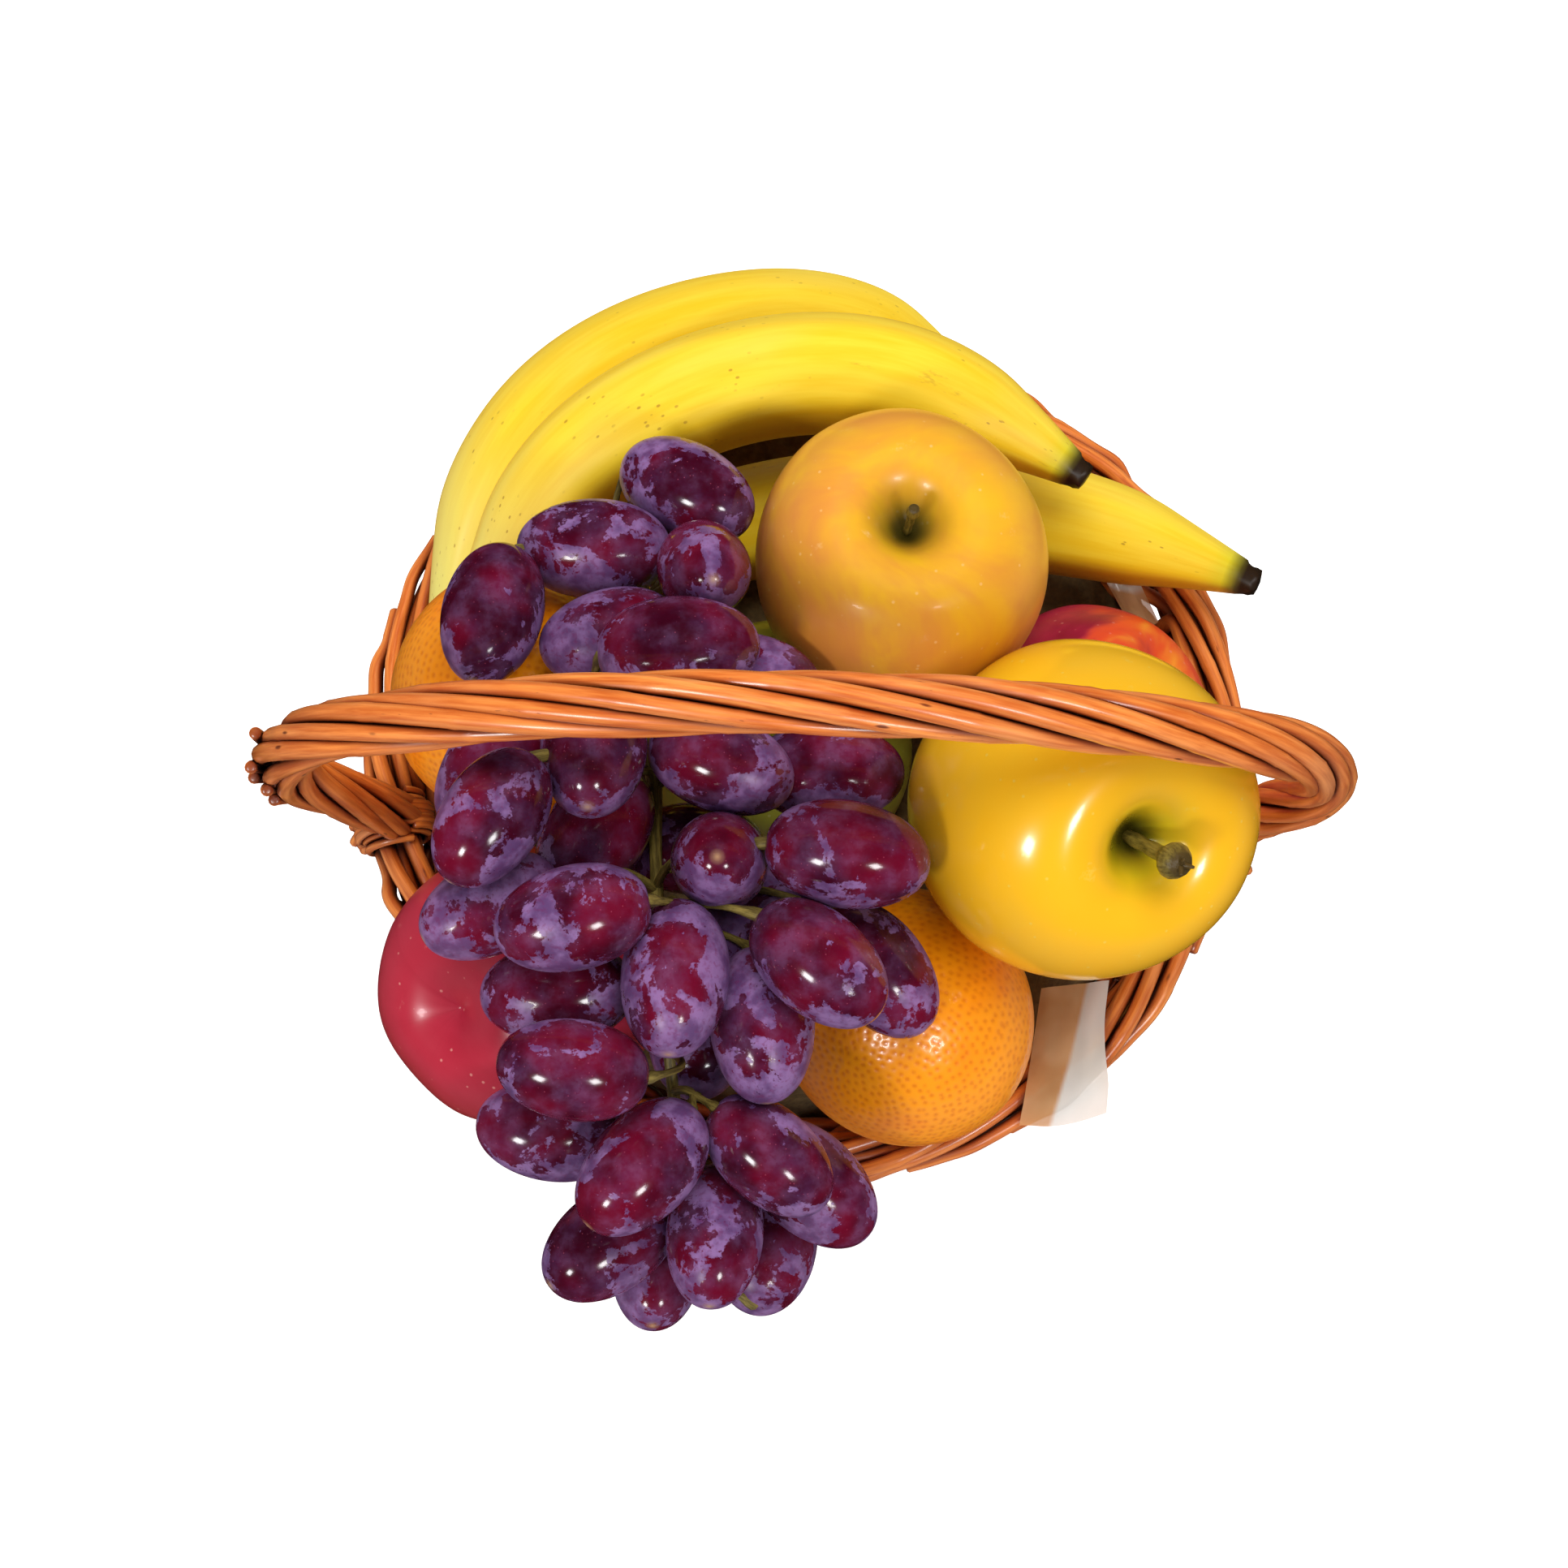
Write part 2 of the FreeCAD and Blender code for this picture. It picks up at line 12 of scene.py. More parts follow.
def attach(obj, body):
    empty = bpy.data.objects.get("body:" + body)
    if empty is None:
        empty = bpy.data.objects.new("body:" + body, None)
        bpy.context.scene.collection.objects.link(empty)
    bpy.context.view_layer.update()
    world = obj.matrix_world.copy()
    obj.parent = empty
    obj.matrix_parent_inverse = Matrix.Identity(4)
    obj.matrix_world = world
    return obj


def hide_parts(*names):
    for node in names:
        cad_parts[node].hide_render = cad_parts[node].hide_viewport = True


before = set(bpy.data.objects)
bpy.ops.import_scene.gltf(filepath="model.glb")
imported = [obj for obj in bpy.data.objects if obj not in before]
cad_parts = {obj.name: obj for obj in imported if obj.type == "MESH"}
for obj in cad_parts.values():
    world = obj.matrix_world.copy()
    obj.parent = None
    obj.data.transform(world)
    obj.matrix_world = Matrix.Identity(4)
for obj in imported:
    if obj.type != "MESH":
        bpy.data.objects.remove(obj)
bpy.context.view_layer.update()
MM = 0.001

# ---- driving dimensions, in metres, as the frame has them ------------------------------------
FLARE = math.tan(math.radians(17.0))     # how far the wall leans out for its height
STAKES = 26
STAKE_R = 1.9 * MM
WALL_R = 110.0 * MM            # the line of stakes at the height of the border
RIM_Z = 88.0 * MM
RIM_R = 113.0 * MM
RIM_HALF_WIDTH = 7.0 * MM
RIM_HALF_HEIGHT = 6.5 * MM
FOOT_HEIGHT = 9.0 * MM
LOWER_WALE = (9.0 * MM, 18.0 * MM)
WEAVE = (18.0 * MM, 73.0 * MM)
UPPER_WALE = (73.0 * MM, 81.5 * MM)
BASE_Z = 8.1 * MM
BASE_HUB_R = 17.0 * MM
BASE_SPOKES = 16
PACKING_FOOT = 14.5 * MM

HANDLE_Y = -24.0 * MM
HANDLE_TOP = 148.0 * MM
HANDLE_HALF = 125.0 * MM
HANDLE_SIDE_R = 62.0 * MM
WRAP_R = 7.2 * MM

WEAVER_R = 1.42 * MM
WALE_R = 2.1 * MM
FOOT_R = 2.3 * MM
BASE_STICK_R = 2.3 * MM
BASE_ROD_R = 1.5 * MM
BOW_R = 3.0 * MM
BORDER_R = 2.25 * MM
WRAP_ROD_R = 2.15 * MM
LASH_R = 1.15 * MM

SEED = 7
WAVES = 5                      # how many waves make up a rod's unevenness round the basket
random.seed(SEED)


# ---- small geometry kit ------------------------------------------------------------------------
def unit(v):
    v = np.asarray(v, float)
    return v / np.maximum(np.linalg.norm(v, axis=-1, keepdims=True), 1e-12)


def length_along(points):
    """How far along a line each of its points is."""
    return np.concatenate([[0], np.cumsum(np.linalg.norm(np.diff(points, axis=0), axis=1))])


def once_round(count):
    """Even angles round a circle."""
    return 2 * np.pi * np.arange(count) / count


def swung(angle, a, b):
    """Directions at some angles from a towards b."""
    return np.cos(angle)[:, None] * a + np.sin(angle)[:, None] * b


def grid_faces(rows, columns, wrap=False, ring=False):
    """Faces of a grid of points. wrap joins its last column to the first, and ring its last row."""
    faces = []
    for r in range(rows if ring else rows - 1):
        for c in range(columns if wrap else columns - 1):
            here, below, right = r * columns, (r + 1) % rows * columns, (c + 1) % columns
            faces.append((here + c, here + right, below + right, below + c))
    return faces


def poled_faces(rows, columns):
    """Faces of a skin of rings that is closed by two poles, which are its last two points."""
    faces = [tuple(reversed(f)) for f in grid_faces(rows, columns, True)]
    top, last = rows * columns, (rows - 1) * columns
    faces += [(top, j, (j + 1) % columns) for j in range(columns)]
    faces += [(top + 1, last + (j + 1) % columns, last + j) for j in range(columns)]
    return faces


def spline(points, count):
    """Evenly spaced points on the natural cubic curve through a few points."""
    points = np.asarray(points, float)
    knots = length_along(points)
    n, h = len(points), np.diff(knots)
    system, right = np.eye(n), np.zeros_like(points)
    for k in range(1, n - 1):
        system[k, k - 1:k + 2] = h[k - 1], 2 * (h[k - 1] + h[k]), h[k]
        right[k] = 6 * ((points[k + 1] - points[k]) / h[k] - (points[k] - points[k - 1]) / h[k - 1])
    bend = np.linalg.solve(system, right)
    at = np.linspace(0, knots[-1], count)
    i = np.clip(np.searchsorted(knots, at, side="right") - 1, 0, n - 2)
    left, span = (at - knots[i])[:, None], h[i][:, None]
    slope = (points[i + 1] - points[i]) / span - span * (2 * bend[i] + bend[i + 1]) / 6
    cubic = (bend[i + 1] - bend[i]) / (6 * span)
    return points[i] + slope * left + bend[i] / 2 * left ** 2 + cubic * left ** 3


def evenly(points, step):
    """The same line with its points a step apart."""
    points = np.asarray(points, float)
    run = length_along(points)
    at = np.linspace(0, run[-1], max(2, int(run[-1] / step) + 1))
    return np.stack([np.interp(at, run, points[:, k]) for k in range(3)], axis=1)


def new_object(name, data):
    made = bpy.data.objects.new(name, data)
    bpy.context.scene.collection.objects.link(made)
    return made


class Shell:
    """Gathers tubes and grids into one mesh, with the attributes that the materials read."""

    def __init__(self):
        self.points, self.faces, self.count = [], [], 0
        self.data = {"grain": [], "tone": [], "mark": []}

    def add(self, points, faces, grain, tone, mark):
        points = np.asarray(points, float).reshape(-1, 3)
        self.points.append(points)
        self.faces += [tuple(int(i) + self.count for i in f) for f in faces]
        self.count += len(points)
        self.data["grain"].append(np.asarray(grain, float).reshape(-1, 3))
        self.data["tone"].append(np.broadcast_to(tone, len(points)).astype(float))
        self.data["mark"].append(np.broadcast_to(mark, len(points)).astype(float))

    def build(self, name, material, body, *nodes, slot=None):
        mesh = bpy.data.meshes.new(name)
        mesh.from_pydata(np.concatenate(self.points).tolist(), [], self.faces)
        for key, kind in (("grain", "FLOAT_VECTOR"), ("tone", "FLOAT"), ("mark", "FLOAT")):
            layer = mesh.attributes.new(key, kind, "POINT")
            values = np.concatenate(self.data[key]).astype(np.float32).ravel()
            layer.data.foreach_set("vector" if kind == "FLOAT_VECTOR" else "value", values)
        mesh.polygons.foreach_set("use_smooth", [True] * len(mesh.polygons))
        mesh.validate()
        mesh.update()
        piece = new_object(name, mesh)
        return place(piece, material, body, *nodes, slot=slot)


def place(piece, material, body, *nodes, slot=None):
    piece.data.materials.append(material)
    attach(piece, body)
    if nodes:
        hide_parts(*nodes)
    return piece


ROUNDED_END = ((0.28, 0.80), (0.36, 0.35))     # rings past a rod's end: how far out and how wide, in radii


def tube(shell, path, radius, sides=8, side=(0, 0, 1), closed=False, tone=None, mark=0.0, cap_mark=1.0):
    """A rod along a path. side is a direction that the path never runs in, so that the rod doesn't twist."""
    path = np.asarray(path, float)
    n = len(path)
    if closed:
        ahead = unit(np.roll(path, -1, axis=0) - np.roll(path, 1, axis=0))
    else:
        ahead = unit(np.gradient(path, axis=0))
    across = unit(np.cross(ahead, np.asarray(side, float)))
    over = np.cross(across, ahead)
    radius = np.broadcast_to(radius, n)
    mark = np.broadcast_to(mark, n)
    run = length_along(path)
    rings = [(path[k], radius[k], run[k], across[k], over[k], mark[k]) for k in range(n)]
    if not closed:
        for end, way in ((0, -1), (n - 1, 1)):
            extra = []
            for out, share in ROUNDED_END:
                middle = path[end] + ahead[end] * (way * out * radius[end])
                extra.append((middle, share * radius[end], run[end], across[end], over[end], cap_mark))
            rings = extra[::-1] + rings if way < 0 else rings + extra
    middle, size, along, a, b, marks = (np.array(column) for column in zip(*rings))
    size = size[:, None]
    turn = once_round(sides)
    points = middle[:, None] + size[:, None] * swung(turn, a[:, None], b[:, None])
    tone = random.random() if tone is None else tone
    along = along[:, None] + np.zeros(sides)
    grain = np.stack([along, np.cos(turn) * size, np.sin(turn) * size + tone], axis=-1)
    faces = grid_faces(len(rings), sides, True, closed)
    if not closed:
        faces.append(tuple(range(sides))[::-1])
        faces.append(tuple(range((len(rings) - 1) * sides, len(rings) * sides)))
    shell.add(points, faces, grain, tone, np.repeat(marks, sides))


def wall_r(z):
    return WALL_R - (RIM_Z - z) * FLARE


def round_path(r, theta, z):
    return np.stack([r * np.cos(theta), r * np.sin(theta), z + 0 * theta], axis=-1)


def ring_angles(count):
    return np.linspace(0, 2 * np.pi, count, endpoint=False)


def any_phase(dice):
    """A random start for a wave, in radians."""
    return dice.uniform(0, 6.3)


def uneven(count, size, seed):
    """A slow random wave of a size round a closed ring of points."""
    dice = np.random.default_rng(seed)
    theta = ring_angles(count)
    out = np.zeros(count)
    for k in range(1, WAVES + 1):
        out += dice.normal() / k * np.cos(k * theta + any_phase(dice))
    return out * size


# ---- materials ----------------------------------------------------------------------------------
def linear(code):
    """A colour in a material's own units from its usual six-digit code."""
    parts = [int(code[k:k + 2], 16) / 255 for k in (0, 2, 4)]
    return [c / 12.92 if c <= 0.04045 else ((c + 0.055) / 1.055) ** 2.4 for c in parts] + [1.0]


CREVICE_RAYS = 6


class Finish:
    """A procedural material: a Principled shader with a few named helpers."""

    def __init__(self, name, **sockets):
        self.material = bpy.data.materials.new(name)
        self.material.use_nodes = True
        self.tree = self.material.node_tree
        self.tree.nodes.clear()
        self.shader = self.node("BsdfPrincipled")
        self.output = self.node("OutputMaterial")
        self.tree.links.new(self.shader.outputs[0], self.output.inputs[0])
        for key, value in sockets.items():
            self.shader.inputs[key.replace("_", " ")].default_value = value

    def node(self, kind, **settings):
        made = self.tree.nodes.new("ShaderNode" + kind)
        for key, value in settings.items():
            setattr(made, key, value)
        return made

    def feed(self, socket, value):
        if isinstance(value, bpy.types.NodeSocket):
            self.tree.links.new(value, socket)
        else:
            socket.default_value = value

    def attribute(self, name, output="Fac"):
        return self.node("Attribute", attribute_name=name).outputs[output]

    def local(self):
        return self.node("TexCoord").outputs["Object"]

    def stretch(self, vector, scale):
        made = self.node("Mapping")
        self.feed(made.inputs["Vector"], vector)
        made.inputs["Scale"].default_value = scale
        return made.outputs[0]

    def noise(self, vector, scale, detail=3.0, rough=0.55, warp=0.0):
        made = self.node("TexNoise")
        self.feed(made.inputs["Vector"], vector)
        made.inputs["Scale"].default_value = scale
        made.inputs["Detail"].default_value = detail
        made.inputs["Roughness"].default_value = rough
        made.inputs["Distortion"].default_value = warp
        return made.outputs["Fac"]

    def cells(self, vector, scale):
        made = self.node("TexVoronoi")
        self.feed(made.inputs["Vector"], vector)
        made.inputs["Scale"].default_value = scale
        return made.outputs["Distance"]

    def calc(self, operation, a, b):
        made = self.node("Math", operation=operation)
        self.feed(made.inputs[0], a)
        self.feed(made.inputs[1], b)
        return made.outputs[0]

    def plus(self, a, b):
        return self.calc("ADD", a, b)

    def times(self, a, b):
        return self.calc("MULTIPLY", a, b)

    def ease(self, value, low, high, out_low=0.0, out_high=1.0):
        made = self.node("MapRange", interpolation_type="SMOOTHSTEP")
        for socket, item in zip(made.inputs, (value, low, high, out_low, out_high)):
            self.feed(socket, item)
        return made.outputs[0]

    def mix(self, share, a, b):
        made = self.node("Mix", data_type="RGBA")
        self.feed(made.inputs[0], share)
        self.feed(made.inputs[6], linear(a) if isinstance(a, str) else a)
        self.feed(made.inputs[7], linear(b) if isinstance(b, str) else b)
        return made.outputs[2]

    def upward(self, low, high, out_low, out_high):
        """A share that goes by how far the skin faces up, for painting light and shade by which way the skin
        faces.
        """
        normal = self.node("NewGeometry").outputs["Normal"]
        return self.ease(self.split(normal)[2], low, high, out_low, out_high)

    def split(self, vector):
        made = self.node("SeparateXYZ")
        self.feed(made.inputs[0], vector)
        return made.outputs

    def closeness(self, distance):
        """Ambient occlusion for painted shade: 1 in the open and near 0 in a crevice narrower than a
        distance.
        """
        made = self.node("AmbientOcclusion", samples=CREVICE_RAYS)
        made.inputs["Distance"].default_value = distance
        return made.outputs["AO"]

    def finish(self, color, roughness=None, height=None, strength=0.5, depth=0.0003):
        self.feed(self.shader.inputs["Base Color"], color)
        if roughness is not None:
            self.feed(self.shader.inputs["Roughness"], roughness)
        if height is not None:
            bump = self.node("Bump")
            bump.inputs["Strength"].default_value = strength
            bump.inputs["Distance"].default_value = depth
            self.feed(bump.inputs["Height"], height)
            self.tree.links.new(bump.outputs[0], self.shader.inputs["Normal"])
        return self.material


def willow(name, light, deep, crevice, gloss=0.30):
    """Varnished willow: streaks along the rod, dark bud specks, lighter patches, and painted shade,
    red-brown to near black, in the crevices between rods.
    """
    f = Finish(name, Coat_Weight=0.80, Coat_Roughness=0.24, Specular_IOR_Level=0.6)
    grain = f.attribute("grain", "Vector")
    streak = f.noise(f.stretch(grain, (55, 900, 900)), 1.0, 4.0, 0.6)
    patch = f.noise(f.stretch(grain, (28, 60, 60)), 1.0, 2.0)
    color = f.mix(f.ease(streak, 0.25, 0.75), deep, light)
    color = f.mix(f.ease(f.attribute("tone"), 0.0, 1.0, 0.0, 0.35), color, deep)
    color = f.mix(f.ease(patch, 0.55, 0.80, 0.0, 0.40), color, "eba05a")
    bud = f.cells(f.stretch(grain, (62, 210, 210)), 1.0)
    speck = f.ease(f.plus(bud, f.times(streak, 0.10)), 0.10, 0.17, 1.0, 0.0)
    fleck = f.ease(f.noise(f.stretch(grain, (300, 1500, 1500)), 1.0, 2.0), 0.70, 0.78)
    dark = f.calc("MAXIMUM", f.times(speck, 0.85), f.times(fleck, 0.5))
    color = f.mix(dark, color, "5a1c0c")
    # Painted shade: ambient occlusion darkens the rods to red-brown, and to the near-black crevice colour
    # where they crowd.
    shade = f.closeness(7 * MM)
    color = f.mix(f.ease(shade, 0.60, 1.0, 0.75, 0.0), color, "8c2c08")
    color = f.mix(f.ease(shade, 0.25, 0.68, 0.96, 0.0), color, crevice)
    color = f.mix(f.times(f.attribute("mark"), 0.75), color, "7d3415")
    height = f.calc("SUBTRACT", f.times(streak, 0.6), f.times(dark, 0.8))
    rough = f.ease(patch, 0.3, 0.8, gloss, gloss + 0.18)
    return f.finish(color, rough, height, 0.35, 0.25 * MM)


def grape_skin():
    """Dark red skin under a lavender bloom that is rubbed off in sharp-edged patches."""
    f = Finish("grape_skin", Specular_IOR_Level=0.42, Subsurface_Weight=0.10, Subsurface_Scale=0.004)
    f.shader.inputs["Subsurface Radius"].default_value = (1.0, 0.25, 0.3)
    grain = f.attribute("grain", "Vector")
    broad = f.noise(grain, 74, 5.0, 0.60, 0.5)
    fine = f.noise(grain, 420, 4.0, 0.7, 0.3)
    cover = f.plus(f.times(broad, 0.78), f.times(fine, 0.22))
    cover = f.plus(cover, f.times(f.calc("SUBTRACT", f.attribute("tone"), 0.5), 0.10))
    # Painted light: the bloom thins on up-facing skin, so lit tops show more crimson and the sides more
    # lavender.
    lit_top_bloom_shift = f.upward(0.2, 1.0, 0.035, -0.045)
    bloom = f.ease(f.plus(cover, lit_top_bloom_shift), 0.488, 0.522)
    haze = f.ease(f.noise(grain, 150, 3.0), 0.35, 0.7, 0.02, 0.22)
    skin = f.mix(f.ease(f.noise(grain, 60, 2.0), 0.35, 0.65), "360213", "62061f")
    skin = f.mix(f.ease(f.cells(grain, 700), 0.05, 0.16, 0.30, 0.0), skin, "b8506a")
    wax = f.mix(f.ease(f.noise(grain, 220, 3.0), 0.35, 0.65), "5e4070", "8a689c")
    wax = f.mix(f.ease(f.noise(grain, 900, 2.0), 0.5, 0.7, 0.0, 0.45), wax, "6a2456")
    cover_share = f.calc("MAXIMUM", f.times(bloom, 0.80), haze)
    color = f.mix(cover_share, skin, wax)
    color = f.mix(f.attribute("mark"), color, "b58f6a")
    rough = f.ease(bloom, 0.0, 1.0, 0.13, 0.36)
    height = f.plus(f.times(bloom, 0.4), f.times(fine, 0.3))
    return f.finish(color, rough, height, 0.12, 0.1 * MM)


def banana_skin():
    """Yellow peel: green towards the crown, darker golden on down-facing skin as painted shade, brown
    flecks, near-black tips.
    """
    f = Finish("banana_skin", Specular_IOR_Level=0.4)
    grain = f.attribute("grain", "Vector")
    tone = f.attribute("tone")
    streak = f.noise(f.stretch(grain, (25, 260, 260)), 1.0, 4.0, 0.6)
    color = f.mix(f.ease(streak, 0.3, 0.7), "e6bc1a", "ecca30")
    patch = f.noise(f.stretch(grain, (18, 45, 45)), 1.0, 2.0)
    color = f.mix(f.ease(patch, 0.5, 0.8, 0.0, 0.4), color, "e6cc5c")
    color = f.mix(f.ease(tone, 0.36, 0.05, 0.0, 0.85), color, "d8d678")
    color = f.mix(f.ease(tone, 0.95, 1.0, 0.0, 0.70), color, "b9b81c")
    # Painted shade: down-facing skin is darkened to deep golden.
    below = f.upward(-0.1, 0.75, 1.0, 0.0)
    color = f.mix(f.times(below, 0.75), color, "cc8606")
    dots = f.ease(f.cells(f.stretch(grain, (300, 420, 420)), 1.0), 0.10, 0.20, 1.0, 0.0)
    many = f.ease(f.noise(grain, 45, 2.0), 0.50, 0.62)
    color = f.mix(f.times(f.times(dots, many), 0.6), color, "8a5a1a")
    bruise = f.ease(f.noise(f.stretch(grain, (40, 120, 120)), 1.0, 5.0, 0.7), 0.66, 0.72, 0.0, 0.35)
    color = f.mix(bruise, color, "9a6a22")
    color = f.mix(f.attribute("mark"), color, "2a1c10")
    return f.finish(color, 0.42, streak, 0.18, 0.2 * MM)


def apple_skin(name, body, blush, stripe, cavity, lenticel, cover, cavity_reach, roughness, gloss, top=None):
    """Waxy apple skin: a blush on one side, fine streaks from stalk to eye, dots, and a tinted cavity, with
    painted shade on down-facing skin and deep in the cavity.
    """
    f = Finish(name, Specular_IOR_Level=0.5, Coat_Weight=gloss, Coat_Roughness=0.09)
    local = f.local()
    x, y, z = f.split(local)
    grain = f.attribute("grain", "Vector")
    streak = f.noise(f.stretch(grain, (14, 70, 70)), 1.0, 5.0, 0.65)
    cloud = f.noise(local, 30, 4.0, 0.62, 0.7)
    side = f.calc("SUBTRACT", f.times(y, -9.0), f.times(x, 20.0))
    share = f.plus(side, f.times(cloud, 2.0))
    share = f.ease(f.plus(share, cover), 0.2, 1.5)
    color = f.mix(f.ease(cloud, 0.3, 0.7), body, stripe)
    color = f.mix(share, color, blush)
    color = f.mix(f.ease(streak, 0.48, 0.78, 0.0, 0.35), color, stripe)
    if top:
        color = f.mix(f.ease(z, -20 * MM, -34 * MM, 0.0, 0.8), color, top)
    spots = f.ease(f.cells(local, 240), 0.06, 0.12, 1.0, 0.0)
    color = f.mix(f.times(spots, 0.40), color, lenticel)
    # Painted shade: down-facing skin is darkened towards brown.
    below = f.upward(-0.2, 0.7, 0.55, 0.0)
    color = f.mix(below, color, f.mix(0.45, color, "a2500c"))
    scuff = f.ease(f.noise(local, 95, 5.0, 0.7), 0.63, 0.72, 0.0, 0.35)
    color = f.mix(scuff, color, lenticel)
    hollow = f.ease(f.attribute("mark"), 1.0 - cavity_reach, 1.0)
    hollow = f.times(hollow, f.ease(f.noise(local, 60, 3.0), 0.2, 0.6, 0.55, 1.0))
    color = f.mix(hollow, color, cavity)
    # Painted shade: the deep of the stalk cavity is darkened to near black.
    deep = f.ease(f.attribute("mark"), 0.66, 0.90, 0.0, 0.9)
    color = f.mix(deep, color, "1d1a0a")
    height = f.plus(cloud, f.times(spots, 0.2))
    return f.finish(color, roughness, height, 0.08, 0.3 * MM)


def orange_skin():
    f = Finish("orange_skin", Specular_IOR_Level=0.5, Coat_Weight=0.35, Coat_Roughness=0.12)
    local = f.local()
    pores = f.ease(f.attribute("mark"), 0.0, 1.0)
    color = f.mix(f.ease(f.noise(local, 40, 3.0), 0.35, 0.7), "f69608", "ee7c02")
    color = f.mix(f.ease(f.noise(local, 16, 2.0), 0.5, 0.75, 0.0, 0.4), color, "f8a010")
    color = f.mix(f.times(pores, 0.55), color, "c95400")
    color = f.mix(f.attribute("tone"), color, "6f7a2a")
    fine = f.noise(local, 900, 2.0)
    return f.finish(color, 0.30, fine, 0.15, 0.12 * MM)


def nectarine_skin():
    f = Finish("nectarine_skin", Specular_IOR_Level=0.45)
    local = f.local()
    cloud = f.noise(local, 30, 4.0, 0.6, 0.5)
    _, _, z = f.split(local)
    color = f.mix(f.ease(cloud, 0.35, 0.6), "8a0f2c", "aa1e40")
    toward_stalk = f.plus(f.times(z, 22.0), cloud)
    color = f.mix(f.ease(toward_stalk, 0.86, 1.08), color, "d9481c")
    color = f.mix(f.ease(toward_stalk, 1.06, 1.25), color, "e9a52a")
    color = f.mix(f.ease(f.noise(local, 55, 3.0), 0.5, 0.8, 0.0, 0.25), color, "a65a80")
    spots = f.ease(f.cells(local, 300), 0.08, 0.15, 0.35, 0.0)
    color = f.mix(spots, color, "d98a7a")
    return f.finish(color, 0.36, cloud, 0.05, 0.3 * MM)


def stalk_skin(name, light, deep, tip, roughness=0.5):
    f = Finish(name, Specular_IOR_Level=0.4)
    grain = f.attribute("grain", "Vector")
    streak = f.noise(f.stretch(grain, (120, 1400, 1400)), 1.0, 4.0, 0.7)
    lump = f.noise(grain, 500, 3.0)
    color = f.mix(f.ease(streak, 0.3, 0.7), deep, light)
    color = f.mix(f.ease(lump, 0.55, 0.75, 0.0, 0.5), color, deep)
    color = f.mix(f.attribute("mark"), color, tip)
    return f.finish(color, roughness, f.plus(streak, lump), 0.5, 0.3 * MM)


def liner_paper():
    """Thin waxed paper that lets some light through: tan on its inner part, as painted shade under the
    fruit, and cream on its outer part.
    """
    f = Finish("liner_paper", Specular_IOR_Level=0.35, Roughness=0.5)
    local = f.local()
    # tone is 0 on the inner part, painted tan as shade, and 1 on the cream outer part.
    fold = f.attribute("tone")
    color = f.mix(f.ease(f.noise(local, 60, 2.0), 0.40, 0.65), "f4c08a", "e4a66c")
    color = f.mix(fold, color, f.mix(f.ease(f.noise(local, 40, 2.0), 0.4, 0.7), "fffaf2", "fbeedd"))
    stain = f.ease(f.noise(local, 75, 1.0), 0.64, 0.69, 0.0, 0.45)
    color = f.mix(stain, color, "cb8444")
    fibre = f.noise(f.stretch(local, (400, 400, 1500)), 1.0, 4.0)
    made = f.finish(color, 0.5, f.plus(fibre, f.noise(local, 120, 3.0)), 0.25, 0.15 * MM)
    through = f.node("BsdfTranslucent")
    f.feed(through.inputs["Color"], color)
    clear = f.node("BsdfTransparent")
    soft, out = f.node("MixShader"), f.node("MixShader")
    soft.inputs[0].default_value = 0.50
    out.inputs[0].default_value = 0.10
    f.tree.links.new(f.shader.outputs[0], soft.inputs[1])
    f.tree.links.new(through.outputs[0], soft.inputs[2])
    f.tree.links.new(soft.outputs[0], out.inputs[1])
    f.tree.links.new(clear.outputs[0], out.inputs[2])
    f.tree.links.new(out.outputs[0], f.output.inputs[0])
    return made


def packing_paper():
    f = Finish("packing_paper", Specular_IOR_Level=0.25)
    local = f.local()
    fibre = f.noise(f.stretch(local, (300, 300, 900)), 1.0, 5.0, 0.7)
    crease = f.noise(local, 45, 5.0, 0.6, 1.2)
    # Kraft-paper browns, darkened as painted shade where the paper lies deep among the fruit.
    color = f.mix(f.ease(fibre, 0.3, 0.7), "57452b", "75603d")
    color = f.mix(f.ease(crease, 0.45, 0.7, 0.0, 0.4), color, "8d7750")
    return f.finish(color, 0.75, f.plus(fibre, crease), 0.35, 0.4 * MM)


WILLOW = willow("willow", "fa9a48", "c25a1a", "2a0802")
# A darker copy of the willow for the rods that lie inside the work (stakes, base sticks, handle bow):
# painted shade.
WILLOW_SHADED = willow("willow_shaded", "d9752c", "a84c14", "2c0a04", 0.38)
GRAPE = grape_skin()
BANANA = banana_skin()
STEM = stalk_skin("grape_stem", "8c7a3c", "4c3f1c", "9a8c48")
STALK = stalk_skin("fruit_stalk", "8c7a34", "4c4218", "4a3a1c", 0.30)
TOP_APPLE = apple_skin("top_apple_skin", "e2aa1a", "cf7f3a", "d9942a", "65660c", "ebc384",
                       -0.50, 0.62, 0.34, 0.15)
FRONT_APPLE = apple_skin("front_apple_skin", "eeb018", "e8aa2c", "eab21e", "98a512", "e2cc60",
                         -1.2, 0.66, 0.22, 0.40)
RED_APPLE = apple_skin("red_apple_skin", "a6142e", "bc2c44", "920c28", "8a7a28", "f0b0a0",
                       0.2, 0.25, 0.30, 0.15, "a82434")
MIDDLE_APPLE = apple_skin("middle_apple_skin", "a8a838", "b4a040", "9aa030", "6d6a12", "d8d890",
                          -0.9, 0.4, 0.3, 0.1)
ORANGE = orange_skin()
NECTARINE = nectarine_skin()
LINER = liner_paper()
PACKING = packing_paper()


# ---- basket: wall ---------------------------------------------------------------------------------
STAKE_POINTS = 12


